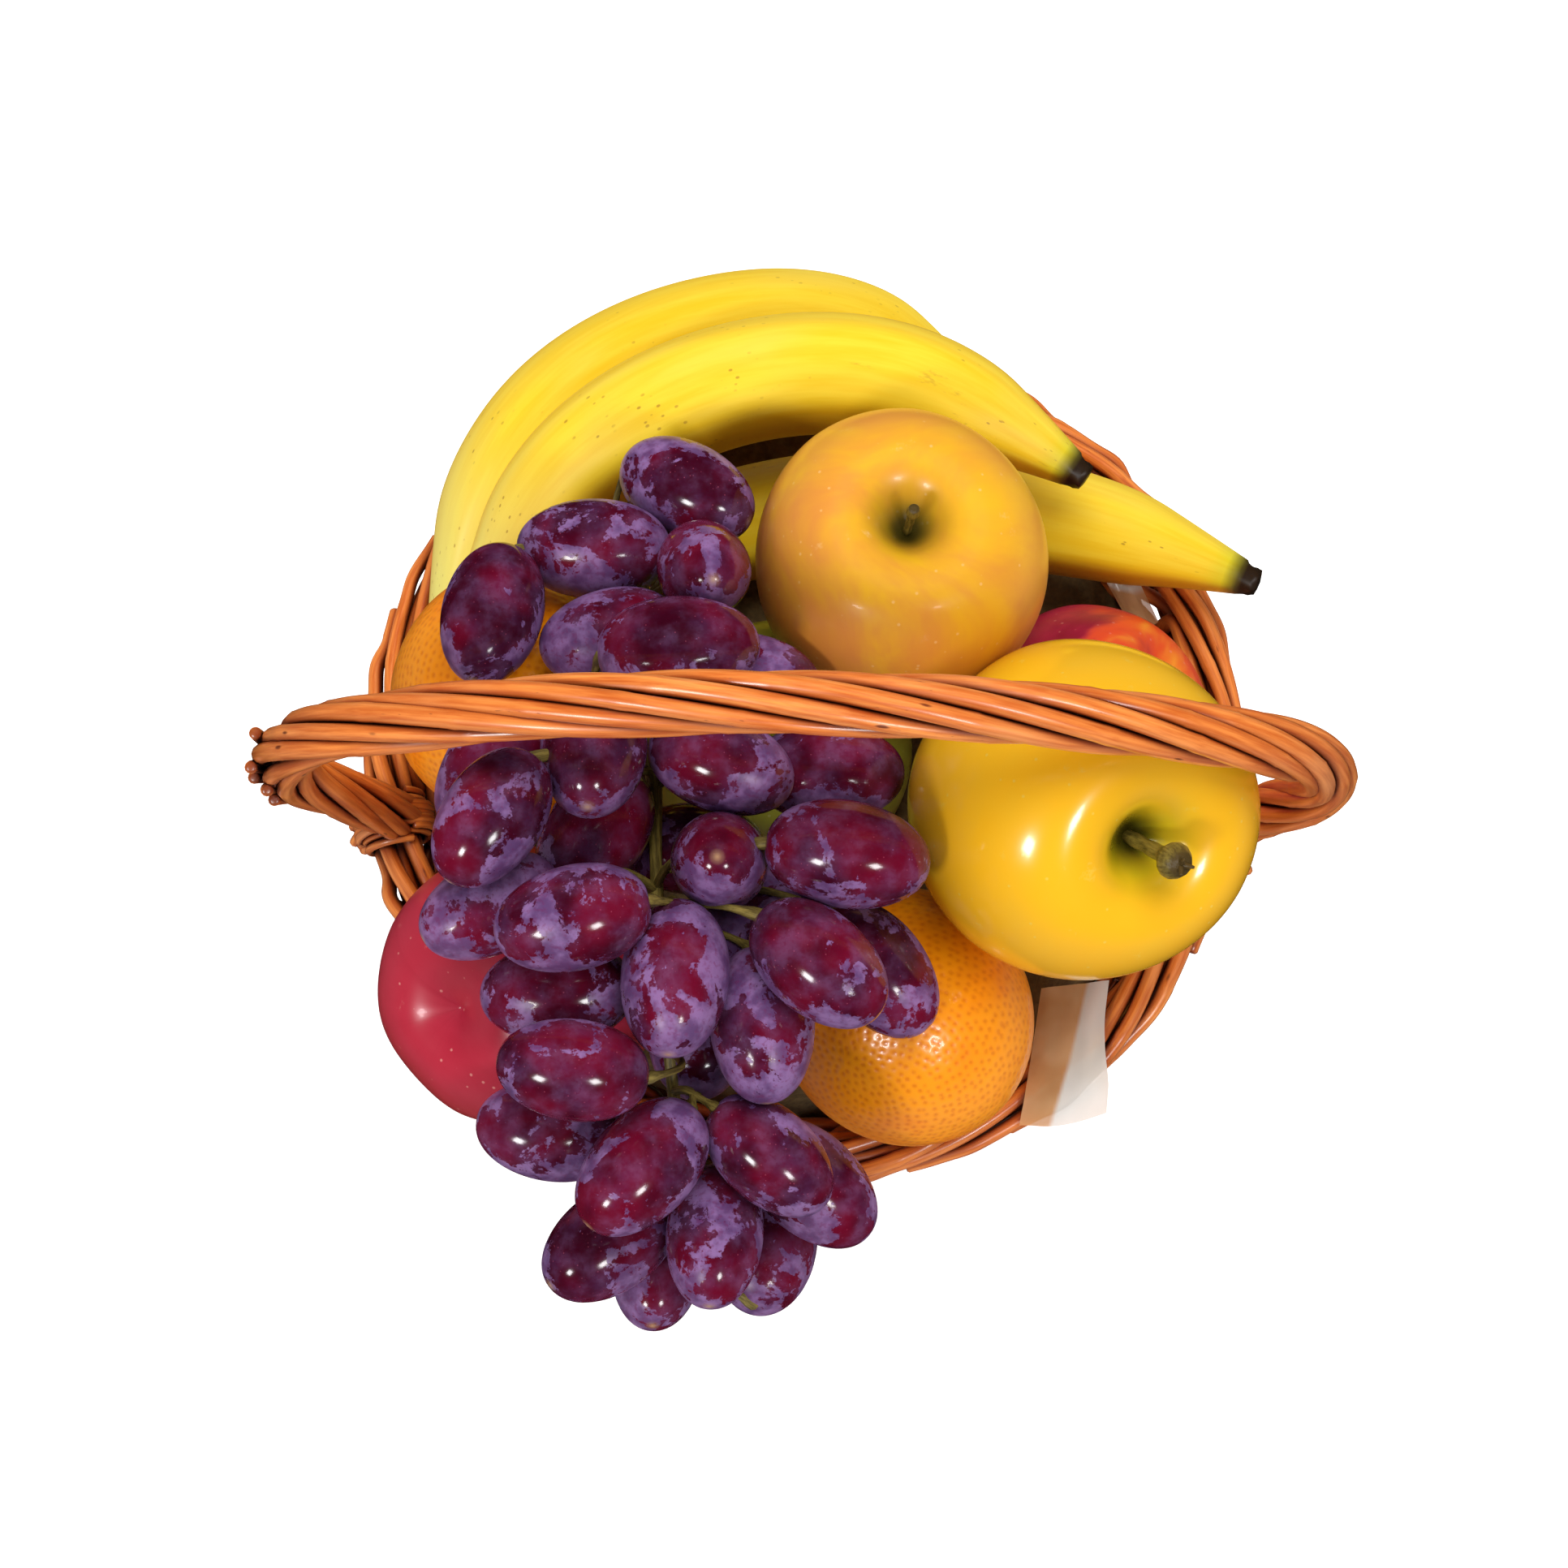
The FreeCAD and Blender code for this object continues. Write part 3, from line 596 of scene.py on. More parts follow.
def stake_paths():
    for k in range(STAKES):
        theta = 2 * math.pi * (k + 0.5) / STAKES
        z = np.linspace(5 * MM, UPPER_WALE[1] + 2 * MM, STAKE_POINTS)
        yield round_path(wall_r(z), np.full(STAKE_POINTS, theta), z), (-math.sin(theta), math.cos(theta), 0)


def side_stakes():
    shell = Shell()
    for path, side in stake_paths():
        tube(shell, path, STAKE_R, 8, side)
    shell.build("stakes", WILLOW_SHADED, "basket", "side_stakes", slot="willow_dark")


def side_weave():
    """Single rods in front of one stake and behind the next, each row the other way about."""
    shell = Shell()
    rows = int((WEAVE[1] - WEAVE[0]) / (2 * WEAVER_R))
    count = STAKES * 8
    theta = ring_angles(count)
    swing = STAKE_R + WEAVER_R
    for row in range(rows):
        z = WEAVE[0] + (row + 0.5) * (WEAVE[1] - WEAVE[0]) / rows
        way = np.sin(STAKES / 2 * theta + math.pi * row)
        wave = np.tanh(1.7 * way) / math.tanh(1.7)
        r = wall_r(z) + swing * wave + uneven(count, 0.12 * MM, 100 + row)
        height = z + uneven(count, 0.22 * MM, 300 + row)
        size = WEAVER_R * (1 + uneven(count, 0.035, 500 + row))
        tube(shell, round_path(r, theta, height), size, 8, closed=True)
    shell.build("weave", WILLOW, "basket", "side_weave", slot="willow")


def waling(name, node, low, high, seed):
    """Three rods that twist round the stakes: each goes outside two stakes and inside the next."""
    shell = Shell()
    count = STAKES * 10
    theta = ring_angles(count)
    z = (low + high) / 2
    swing = STAKE_R + WALE_R
    lift = (high - low) / 2 - WALE_R
    line = []
    for turn in range(3):
        phase = STAKES / 3 * (theta + 2 * np.pi * turn)
        way = np.tanh(2.2 * (np.cos(phase) + 0.25)) / math.tanh(2.2 * 1.25)
        height = z + lift * np.sin(phase) + uneven(count, 0.15 * MM, seed + turn)
        line.append(round_path(wall_r(height) + swing * way, theta, height))
    tube(shell, np.concatenate(line), WALE_R, 10, closed=True)
    shell.build(name, WILLOW, "basket", node, slot="willow")


def foot():
    """A rope of three rods that the basket stands on."""
    shell = Shell()
    theta = ring_angles(720)
    coil = FOOT_HEIGHT / 2 - FOOT_R
    middle = wall_r(FOOT_HEIGHT) - 0.8 * MM
    line = []
    for turn in range(3):
        phase = STAKES / 3 * (theta + 2 * np.pi * turn)
        height = FOOT_HEIGHT / 2 + coil * np.sin(phase)
        line.append(round_path(middle + 1.6 * coil * np.cos(phase), theta, height))
    tube(shell, np.concatenate(line), FOOT_R, 10, closed=True)
    shell.build("foot", WILLOW, "basket", "foot_border", slot="willow")


def base():
    """Sixteen spokes opened out from a cross of eight sticks, woven over and under from the middle."""
    sticks, rods = Shell(), Shell()
    edge = wall_r(FOOT_HEIGHT) - 4 * MM
    for k in range(4):
        off = (k - 1.5) * 2 * BASE_STICK_R * 1.04
        spoke = (k - 1.5) * 2 * math.pi / BASE_SPOKES
        for layer in range(2):
            z = BASE_Z + (layer - 0.5) * 2 * BASE_STICK_R
            for end in (-1, 1):
                far = np.array([end * edge * math.cos(spoke), edge * math.sin(spoke), BASE_Z])
                hub = (end * BASE_HUB_R, off, z)
                path = spline([(0, off, z), hub, (hub + far) / 2, far], 24)
                if layer:
                    path = path[:, [1, 0, 2]]
                tube(sticks, path, BASE_STICK_R, 8)
    rows = int((edge - BASE_HUB_R) / (2 * BASE_ROD_R))
    count = BASE_SPOKES * 12
    theta = ring_angles(count)
    for row in range(rows):
        r = BASE_HUB_R + (row + 0.8) * (edge - BASE_HUB_R) / rows
        way = np.sin(BASE_SPOKES / 2 * (theta + math.pi / BASE_SPOKES) + math.pi * row)
        z = BASE_Z + (BASE_STICK_R + BASE_ROD_R) * np.tanh(1.7 * way) / math.tanh(1.7)
        path = round_path(r + uneven(count, 0.2 * MM, 700 + row), theta, z)
        tube(rods, path, BASE_ROD_R, 8, closed=True)
    sticks.build("base_spokes", WILLOW_SHADED, "basket", "base_sticks", slot="willow_dark")
    rods.build("base_rods", WILLOW, "basket", "base_weave", slot="willow")


def buds(run, dice):
    """Small swellings along a rod, where side buds grew: their shares of extra radius."""
    out = np.zeros(len(run))
    at = dice.uniform(5 * MM, 30 * MM)
    while at < run[-1]:
        out += 0.07 * np.exp(-((run - at) / (1.3 * MM)) ** 2)
        at += dice.uniform(22 * MM, 60 * MM)
    return out


# ---- basket: border ---------------------------------------------------------------------------------
BORDER_OVERLAP = 3.7           # how many stakes along each border rod goes
BORDER_START, BORDER_END = 215.0, -38.0   # round the border's section, degrees
BORDER_POINTS = 80
# Closed rods that fill the border: how far out from its middle line, how far up, and radius, in millimetres.
BORDER_CORE = ((0.0, 0.6, 2.3), (-1.8, -2.2, 1.6), (2.0, -2.2, 1.6))


def border():
    """Each stake comes up inside, lies over three more at a shallow angle, kinks and ends outside."""
    shell = Shell()
    dice = np.random.default_rng(31)
    wide, tall = RIM_HALF_WIDTH - BORDER_R, RIM_HALF_HEIGHT - BORDER_R
    share = np.linspace(0, 1, 64)
    for k in range(STAKES):
        reach = BORDER_OVERLAP + dice.uniform(-0.35, 0.40)
        section = BORDER_START + dice.uniform(-8, 8)
        section = section + (BORDER_END - BORDER_START) * (share * 0.94 + 0.06 * share ** 3)
        section = np.radians(section + 9 * np.sin(share * dice.uniform(5, 8) + any_phase(dice)))
        theta = 2 * math.pi * (k + 0.5 + dice.uniform(-0.12, 0.12) - reach * share) / STAKES
        kink = dice.uniform(0.3, 1.7) * MM * np.exp(-((share - dice.uniform(0.80, 0.88)) / 0.05) ** 2)
        kink = kink + dice.uniform(0.1, 0.9) * MM * np.exp(-((share - dice.uniform(0.48, 0.62)) / 0.06) ** 2)
        out = dice.uniform(0.6, 2.6) * MM * np.clip((share - 0.9) / 0.1, 0, 1)
        r = RIM_R + (wide + kink + dice.uniform(-0.3, 0.3) * MM) * np.cos(section) + out
        z = RIM_Z + tall * np.sin(section) + 0.5 * kink
        low = UPPER_WALE[1] - 4 * MM
        start = round_path(np.array([wall_r(low)]), theta[:1], low)
        path = spline(np.concatenate([start, round_path(r, theta, z)])[::3], BORDER_POINTS)
        size = BORDER_R * (1.03 + dice.uniform(-0.10, 0.08)) * np.linspace(1.0, 0.84, BORDER_POINTS)
        run = length_along(path)
        tube(shell, path, size * (1 + buds(run, dice)), 12)
    count = STAKES * 10
    theta = ring_angles(count)
    for out, up, rod in BORDER_CORE:
        ring = round_path(RIM_R + out * MM + uneven(count, 0.2 * MM, 41), theta, RIM_Z + up * MM)
        tube(shell, ring, rod * MM, 8, closed=True, tone=1.0)
    shell.build("border_rods", WILLOW, "basket", "rim_border", slot="willow")


# ---- basket: handle ---------------------------------------------------------------------------------
LEG_X = math.sqrt(WALL_R ** 2 - HANDLE_Y ** 2)
LEAN = math.atan(FLARE * -HANDLE_Y / WALL_R)
LEG_SLOPE = FLARE * LEG_X / WALL_R * math.cos(LEAN)


def hoop(foot_z, step):
    """The hoop's middle line: leg, shoulder, crown, shoulder, leg, in its leaning plane."""
    leg = math.atan(LEG_SLOPE)
    side_x = HANDLE_HALF - HANDLE_SIDE_R
    low_h = (side_x + HANDLE_SIDE_R * math.cos(leg) - LEG_X) / LEG_SLOPE
    side_h = low_h + HANDLE_SIDE_R * math.sin(leg)
    rise = HANDLE_TOP - side_h
    crown_r = (side_x ** 2 + rise ** 2 - HANDLE_SIDE_R ** 2) / (2 * (rise - HANDLE_SIDE_R))
    crown_h = HANDLE_TOP - crown_r
    join = math.atan2(side_h - crown_h, side_x)
    foot_h = (foot_z - RIM_Z) / math.cos(LEAN)
    turn = np.linspace(-leg, join, 60)
    over = np.linspace(join, math.pi / 2, 60)[1:]
    foot_x = LEG_X + foot_h * LEG_SLOPE
    x = np.concatenate([[foot_x], side_x + HANDLE_SIDE_R * np.cos(turn), crown_r * np.cos(over)])
    h = np.concatenate([[foot_h], side_h + HANDLE_SIDE_R * np.sin(turn), crown_h + crown_r * np.sin(over)])
    x = np.concatenate([-x, x[-2::-1]])
    h = np.concatenate([h, h[-2::-1]])
    return evenly(np.stack([x, HANDLE_Y - h * math.sin(LEAN), RIM_Z + h * math.cos(LEAN)], axis=1), step)


HOOP_NORMAL = np.array([0, math.cos(LEAN), math.sin(LEAN)])
WRAP_RODS = 7
WRAP_LONG_PITCH, WRAP_SHORT_PITCH = 235 * MM, 125 * MM      # one turn, at the left end and at the right
CUT_ENDS, CUT_POINTS = 6, 9


def handle():
    bow, wrap = Shell(), Shell()
    line = hoop(30 * MM, 3 * MM)
    tube(bow, line, BOW_R, 10, HOOP_NORMAL)
    bow.build("handle_bow_rod", WILLOW_SHADED, "basket", "handle_bow", slot="willow_dark")
    line = hoop(RIM_Z + 2 * MM, 1.6 * MM)
    ahead = unit(np.gradient(line, axis=0))
    across = np.cross(HOOP_NORMAL, ahead)
    run = length_along(line)
    share = run / run[-1]
    pitch = WRAP_LONG_PITCH + (WRAP_SHORT_PITCH - WRAP_LONG_PITCH) * share
    turned = np.concatenate([[0], np.cumsum(2 * np.pi * np.diff(run) / pitch[1:])])
    dice = np.random.default_rng(12)
    for k in range(WRAP_RODS):
        phase = turned + 2 * math.pi * (k + dice.uniform(-0.13, 0.13)) / WRAP_RODS
        phase = phase + 0.06 * np.sin(run / (70 * MM) + any_phase(dice))
        size = 1 + dice.uniform(-0.06, 0.08) + 0.04 * np.sin(run / (45 * MM) + any_phase(dice))
        swell = 1 + 0.045 * np.sin(run / (50 * MM) + any_phase(dice)) - dice.uniform(0, 0.10)
        reach = (WRAP_R - WRAP_ROD_R) * swell
        path = line + reach[:, None] * swung(phase, across, HOOP_NORMAL)
        tube(wrap, path, WRAP_ROD_R * size * (1 + buds(run, dice)), 12, HOOP_NORMAL)
    tip = int(np.argmin(line[:, 0]))
    for k in range(CUT_ENDS):               # they stand off the left shoulder
        first = tip - 14 + 4 * k
        piece = slice(first, first + CUT_POINTS)
        phase = turned[piece] + dice.uniform(2.2, 4.2) - turned[first]
        reach = WRAP_R - 1.4 * MM + np.linspace(0, 2.4 * MM, CUT_POINTS)
        path = line[piece] + reach[:, None] * swung(phase, across[piece], HOOP_NORMAL)
        tube(wrap, path, WRAP_ROD_R * np.linspace(0.80, 0.72, CUT_POINTS), 12, HOOP_NORMAL)
    wrap.build("handle_rods", WILLOW, "basket", "handle_wrap", slot="willow")


LASH_TURNS, LASH_PITCH = 6, 2.35 * MM
LOOSE_ENDS = 4


def lashing(name, node, side):
    """Thin rods wound round the border and the foot of the hoop, their cut ends left standing out."""
    shell = Shell()
    dice = np.random.default_rng(50 + side)
    middle = math.atan2(HANDLE_Y, side * LEG_X)
    wide, tall = RIM_HALF_WIDTH + LASH_R, RIM_HALF_HEIGHT + LASH_R
    spread = LASH_TURNS * LASH_PITCH / RIM_R
    phase = np.linspace(0, 2 * np.pi * LASH_TURNS, LASH_TURNS * 40)
    for layer, way in enumerate((1, -1)):
        share = phase / (2 * np.pi * LASH_TURNS) - 0.5
        theta = middle + way * share * spread * (0.55 if layer else 1.0)
        extra = layer * 1.7 * LASH_R
        r = RIM_R + (wide + extra) * np.cos(phase + 2.2) + 0.2 * MM * np.sin(phase * 0.7)
        z = RIM_Z + (tall + extra) * np.sin(phase + 2.2)
        tube(shell, round_path(r, theta, z), LASH_R * (1.0 + 0.08 * np.sin(phase / 3)), 8)
    out = np.array([math.cos(middle), math.sin(middle), 0])
    tangent = np.array([-math.sin(middle), math.cos(middle), 0])
    for _ in range(LOOSE_ENDS):
        start = out * (RIM_R + 5 * MM) + tangent * (dice.uniform(-6, 6) * MM)
        start = start + np.array([0, 0, RIM_Z - 1 * MM])
        tip = start + out * (dice.uniform(5, 8) * MM) + tangent * (dice.uniform(-4, 4) * MM)
        tip = tip - np.array([0, 0, dice.uniform(2, 6) * MM])
        middle_point = (start + tip) / 2 + np.array([0, 0, 2.0 * MM])
        tube(shell, spline([start, middle_point, tip], 12), LASH_R * 1.25, 8, tangent)
    shell.build(name, WILLOW, "basket", node, slot="willow")


# ---- paper -------------------------------------------------------------------------------------------
def crumple(x, y, size):
    """Sharp folds as in screwed-up paper, from -0.5 to 0.5 or so."""
    total = 0.0
    for k, scale in enumerate((1.0, 2.1, 4.3)):
        value = noise.noise(Vector((x * scale / size, y * scale / size, 3.7 * k)))
        total += (1 - 2 * abs(value)) / scale
    return total - 0.9


def packing():
    """Crumpled paper from the base up, pressed down under each fruit that lies on it."""
    shell = Shell()
    rows, columns = 44, 150
    top = []
    rim = wall_r(82 * MM) - 7.2 * MM
    for i in range(rows):
        for j in range(columns):
            share = i / (rows - 1)
            theta = 2 * math.pi * j / columns
            r = share * rim
            x, y = r * math.cos(theta), r * math.sin(theta)
            z = 93 * MM - 15 * MM * share ** 3 + 5 * MM * crumple(x, y, 22 * MM)
            if y > 33 * MM:
                z = min(z, 69 * MM + 2 * MM * crumple(x, y, 22 * MM))
            if x < -38 * MM and y > -1 * MM:
                z = min(z, 75.5 * MM)
            for centre, radius in NESTS:
                flat = math.hypot(x - centre[0], y - centre[1])
                if flat < radius:
                    z = min(z, centre[2] - math.sqrt(radius ** 2 - flat ** 2) - 0.6 * MM)
            top.append((x, y, z))
    top = np.array(top)
    below = []
    edge = top[-columns:]
    theta = np.arctan2(edge[:, 1], edge[:, 0])
    for level in np.linspace(1, 0, 10)[1:]:
        z = PACKING_FOOT + (edge[:, 2] - PACKING_FOOT) * level
        wobble = [0.8 * MM * crumple(math.cos(t) * 0.1 + level, math.sin(t) * 0.1, 30 * MM) for t in theta]
        below.append(round_path(wall_r(z) - 7.4 * MM + np.array(wobble), theta, z))
    points = np.concatenate([top] + below)
    faces = grid_faces(rows + len(below), columns, True)
    faces.append(tuple(range(len(points) - columns, len(points)))[::-1])
    shell.add(points, faces, points, 0.5, 0.0)
    shell.build("packing_heap", PACKING, "basket", "paper_filling", slot="packing_paper")


def flap(name, node, inner, outer, heights, wave):
    """A piece of thin liner paper that lies over the border: its inner and outer edges in plan, left to
    right, and its height at each distance from the middle. Its inner part is painted tan as shade, and a
    lighter part begins at a soft line."""
    rows, columns = 44, 44
    distance, level = np.array(heights).T
    points, tone = [], []
    for i in range(rows):
        along = i / (rows - 1)
        left = np.array(inner[0]) * (1 - along) + np.array(outer[0]) * along
        right = np.array(inner[1]) * (1 - along) + np.array(outer[1]) * along
        for j in range(columns):
            across = j / (columns - 1)
            narrow = 1 - 0.16 * math.sin(math.pi * min(1.0, along * 1.25)) * max(0.0, across - 0.5)
            x, y = left * (1 - across * narrow) + right * across * narrow
            bulge = 1.5 * along ** 4 * math.sin(math.pi * across)
            y = y - bulge * np.sign(-y)
            z = np.interp(math.hypot(x, y), distance, level)
            fold = wave * (math.sin(across * 8.0 + along * 1.5) + 0.5 * math.sin(across * 17 - along * 2))
            rough = 0.25 * noise.noise(Vector((across * 6, along * 6, 2.0)))
            points.append((x * MM, y * MM, (z + fold + rough) * MM))
            # tone: 0 on the inner part, which the liner paints tan as shade, rising to 1 on the cream outer
            # part.
            tone.append(min(1.0, max(0.0, (across - 0.66 + 0.34 * along) / 0.06)))
    shell = Shell()
    points = np.array(points)
    shell.add(points, grid_faces(rows, columns), points, tone, 0.0)
    piece = shell.build(name, LINER, "basket", node, slot="liner_paper")


# ---- fruit ---------------------------------------------------------------------------------------------
APPLE_LINE = ((0, 0.54), (0.10, 0.60), (0.26, 0.78), (0.50, 0.85), (0.84, 0.62), (1.0, 0.12),
              (0.93, -0.38), (0.68, -0.74), (0.40, -0.85), (0.20, -0.80), (0, -0.68))
PEACH_LINE = ((0, 0.74), (0.08, 0.78), (0.26, 0.86), (0.66, 0.70), (0.97, 0.25), (0.97, -0.20),
              (0.70, -0.66), (0.30, -0.86), (0, -0.90))
ORANGE_LINE = ((0, 0.93), (0.10, 0.94), (0.45, 0.86), (0.83, 0.52), (1.0, 0.0), (0.83, -0.52),
               (0.45, -0.86), (0, -0.95))

# Each round fruit: outline, radius and middle in millimetres, direction of its stalk end.
ROUND = {
    "orange_left": (ORANGE_LINE, 33.0, (-73, -1.5, 131), (-0.3, -0.5, 0.8)),
    "orange_front": (ORANGE_LINE, 33.0, (27, -79.5, 116), (0.5, 0.5, -0.7)),
    "apple_red": (APPLE_LINE, 34.0, (-69.5, -76, 130), (0.5, 0.4, -0.8)),
    "nectarine": (PEACH_LINE, 31.5, (76.5, 2, 105.5), (0.6, 0.4, 0.7)),
    "apple_middle": (APPLE_LINE, 34.0, (-6, -8, 104.2), (0.1, 0.2, 1.0)),
    "apple_top": (APPLE_LINE, 36.2, (23, 26.5, 158.5), (0.03, 0.02, 1.0)),
    "apple_front": (APPLE_LINE, 40.1, (65.5, -38, 167), (0.40, -0.48, 0.78)),
}
FULLEST = 1.012                # no lobe goes further out than this, in radii
NESTS = [(np.array(ROUND[n][2]) * MM, ROUND[n][1] * MM)
         for n in ("orange_left", "orange_front", "apple_red", "nectarine", "apple_middle")]


def fruit(node, piece_name, material, body, slot, lobes, seed, rows=96, columns=128, pores=0):
    """A turned fruit with lobes, a little lopsided, in its own local frame with its stalk end up."""
    outline, radius, centre, axis = ROUND[node]
    radius *= MM
    line = spline([(r * radius, 0, z * radius) for r, z in outline], rows)
    line[0, 0] = line[-1, 0] = 0
    dice = np.random.default_rng(seed)
    turn = once_round(columns)
    r = line[1:-1, 0][:, None]
    z = line[1:-1, 2][:, None]
    low = np.clip(-z / radius, 0, 1)
    lobe = 1 + lobes * np.cos(5 * turn + any_phase(dice)) * low ** 1.5
    lobe = lobe * (1 + 0.012 * np.cos(2 * turn + any_phase(dice)) + 0.010 * np.cos(3 * turn + 1.0))
    lobe = np.minimum(lobe, FULLEST)
    tilt = 0.03 * z * np.cos(turn + any_phase(dice))
    points = np.stack([r * lobe * np.cos(turn), r * lobe * np.sin(turn), z + tilt * (r / radius)], axis=-1)
    flat = points.reshape(-1, 3)
    mark = np.zeros(len(flat))
    tone = np.zeros(len(flat))
    if pores:
        tree = KDTree(pores)
        golden = math.pi * (3 - math.sqrt(5))
        for k in range(pores):
            h = 1 - 2 * (k + 0.5) / pores
            s = math.sqrt(1 - h * h)
            angle = golden * k + dice.uniform(-0.02, 0.02)
            spot = Vector((s * math.cos(angle), s * math.sin(angle), h)) * radius
            tree.insert(spot + Vector(dice.normal(0, 0.22 * MM, 3)), k)
        tree.balance()
        wide = radius * math.sqrt(4 * math.pi / pores)
        for k, p in enumerate(flat):
            d = tree.find(Vector(p) * (radius / np.linalg.norm(p)))[2] / wide
            mark[k] = math.exp(-(d / 0.30) ** 2)
        lump = np.array([noise.noise(Vector(p) * 90) for p in flat])
        flat = flat * (1 - (0.0055 * mark)[:, None] + 0.006 * lump[:, None])
        tone = np.where(np.linalg.norm(flat[:, :2], axis=1) < 0.09 * radius, (flat[:, 2] > 0) * 0.8, 0.0)
    else:
        near = np.clip(1 - np.linalg.norm(flat[:, :2], axis=1) / (0.62 * radius), 0, 1)
        mark = np.where(flat[:, 2] > 0, near, near * 0.5)
    ends = np.array([[0, 0, line[0, 2]], [0, 0, line[-1, 2]]])
    flat = np.concatenate([flat, ends])
    mark = np.concatenate([mark, [mark[0], mark[-1]]])
    tone = np.concatenate([tone, [tone[0], tone[-1]]])
    angle = np.concatenate([np.tile(turn, rows - 2), [0, 0]])
    grain = np.stack([flat[:, 2], radius * np.cos(angle), radius * np.sin(angle)], axis=1)
    shell = Shell()
    shell.add(flat, poled_faces(rows - 2, columns), grain, tone, mark)
    piece = shell.build(piece_name, material, body, node, slot=slot)
    piece.matrix_world = stand(centre, axis)


def stand(centre, axis):
    """The place of something that is built upright: its middle in millimetres and where its top points."""
    turn = Vector((0, 0, 1)).rotation_difference(Vector(axis).normalized()).to_matrix().to_4x4()
    return Matrix.Translation(Vector(centre) * MM) @ turn


def stalk(node, piece_name, fruit_node, body, way, start, length, radius, knob, bend):
    """A woody stalk from a point on the fruit's axis, going its own way. A thick knob has a torn end."""
    shell = Shell()
    line = spline([(0, 0, -2), (bend * 0.4, 0, length * 0.4), (bend, 0, length)], 40) * MM
    share = np.linspace(0, 1, 40)
    size = radius * (0.85 + 0.15 * share) + (knob - radius) * np.exp(-((share - 0.93) / 0.13) ** 2)
    size = size * (1 + 0.06 * np.sin(share * 23))
    tube(shell, line, size * MM, 14, (0, 1, 0), tone=0.5, mark=np.clip((share - 0.85) * 4, 0, 1) * 0.8)
    if knob > 2 * radius:
        for angle in (0, 2.1, 4.2):
            end = line[-1] + np.array([math.cos(angle), math.sin(angle), 1.6]) * (1.1 * MM)
            tip = end + np.array([math.cos(angle), math.sin(angle), 1.2]) * (0.9 * MM)
            tube(shell, spline([line[-1], end, tip], 8), np.linspace(1.1, 0.35, 8) * MM, 8, (0.3, 1, 0.2),
                 tone=0.5, mark=1.0)
    piece = shell.build(piece_name, STALK, body, node, slot="fruit_stalk")
    _, _, centre, axis = ROUND[fruit_node]
    piece.matrix_world = stand(np.array(centre) + unit(axis) * start, way)


BLOSSOM_END = ((1.2, 0.80), (3.2, 0.74), (4.6, 0.66), (5.0, 0.35))   # millimetres past the tip, and width
BANANA_R = (6.0, 8.0, 12.2, 15.2, 16.3, 16.4, 16.3, 16.0, 14.8, 11.0, 5.0)
BANANAS = {
    "banana_back": ((-97, 16, 95), (-92, 46, 103), (-66, 87, 113),
                    (-22, 109, 114), (15, 108, 114), (43, 93, 114)),
    "banana_middle": ((-95, 16, 99), (-85, 37, 107), (-58, 65, 130),
                      (-20, 82, 140), (25, 83, 140), (68, 61, 137)),
    "banana_low": ((-90, 14, 93), (-65, 41, 88), (-20, 62, 89),
                   (28, 67, 94), (78, 57, 104), (116, 41, 112)),
}


def banana(node, seed):
    """A banana along its line: five soft edges, a narrow neck, and a dark blossom end."""
    rows, columns = 120, 60
    dice = np.random.default_rng(seed)
    line = spline(BANANAS[node], rows) * MM
    ahead = unit(np.gradient(line, axis=0))
    across = unit(np.cross(ahead, (0, 0, 1)))
    over = np.cross(across, ahead)
    share = np.linspace(0, 1, rows)
    size = spline([(k, r, 0) for k, r in enumerate(BANANA_R)], 400)
    size = np.interp(share * (len(BANANA_R) - 1), size[:, 0], size[:, 1]) * MM
    turn = once_round(columns)
    twist = any_phase(dice) + 0.3 * share
    ridge = 0.5 * (1 + np.cos(5 * (turn[None, :] + twist[:, None])))
    shape = 0.945 + 0.055 * ridge ** 1.6
    lump = 1 + 0.006 * np.sin(share * 9 + seed)[:, None]
    reach = (size[:, None] * shape * lump)[:, :, None]
    points = line[:, None] + reach * swung(turn, across[:, None], over[:, None])
    mark = np.clip((share - 0.985) / 0.012, 0, 1) * 0.9
    stub = []
    for out, scale in BLOSSOM_END:
        middle = line[-1] + ahead[-1] * out * MM
        wobble = 1 + 0.10 * np.cos(5 * turn + out)
        stub.append(middle + (size[-1] * scale * wobble)[:, None] * swung(turn, across[-1], over[-1]))
    points = np.concatenate([points, np.array(stub)])
    total = rows + len(stub)
    marks = np.repeat(np.concatenate([mark, np.ones(len(stub))]), columns)
    along = np.concatenate([share, np.ones(len(stub))]) * 0.2
    grain = np.stack([np.repeat(along, columns), np.tile(0.016 * np.cos(turn), total),
                      np.tile(0.016 * np.sin(turn), total) + seed], axis=1)
    faces = grid_faces(total, columns, True)
    faces.append(tuple(range(columns))[::-1])
    faces.append(tuple(range((total - 1) * columns, total * columns)))
    shell = Shell()
    shell.add(points, faces, grain, np.repeat(along / 0.2, columns), marks)
    shell.build(node + "_fruit", BANANA, "banana_hand", node, slot="banana_peel")


def banana_crown():
    """The cut stub that the three necks grow from."""
    shell = Shell()
    middle = np.array((-95, 10, 93)) * MM
    for line in BANANAS.values():
        neck = spline(line, 60)[4] * MM
        path = spline([neck, (neck + middle) / 2, middle - np.array([1, 4, 1]) * MM], 16)
        size = np.linspace(6.2, 7.4, 16) * MM
        tube(shell, path, size, 18, tone=0.05, mark=np.linspace(0, 0.6, 16))
    shell.build("banana_stub", BANANA, "banana_hand", "banana_crown", slot="banana_stem")


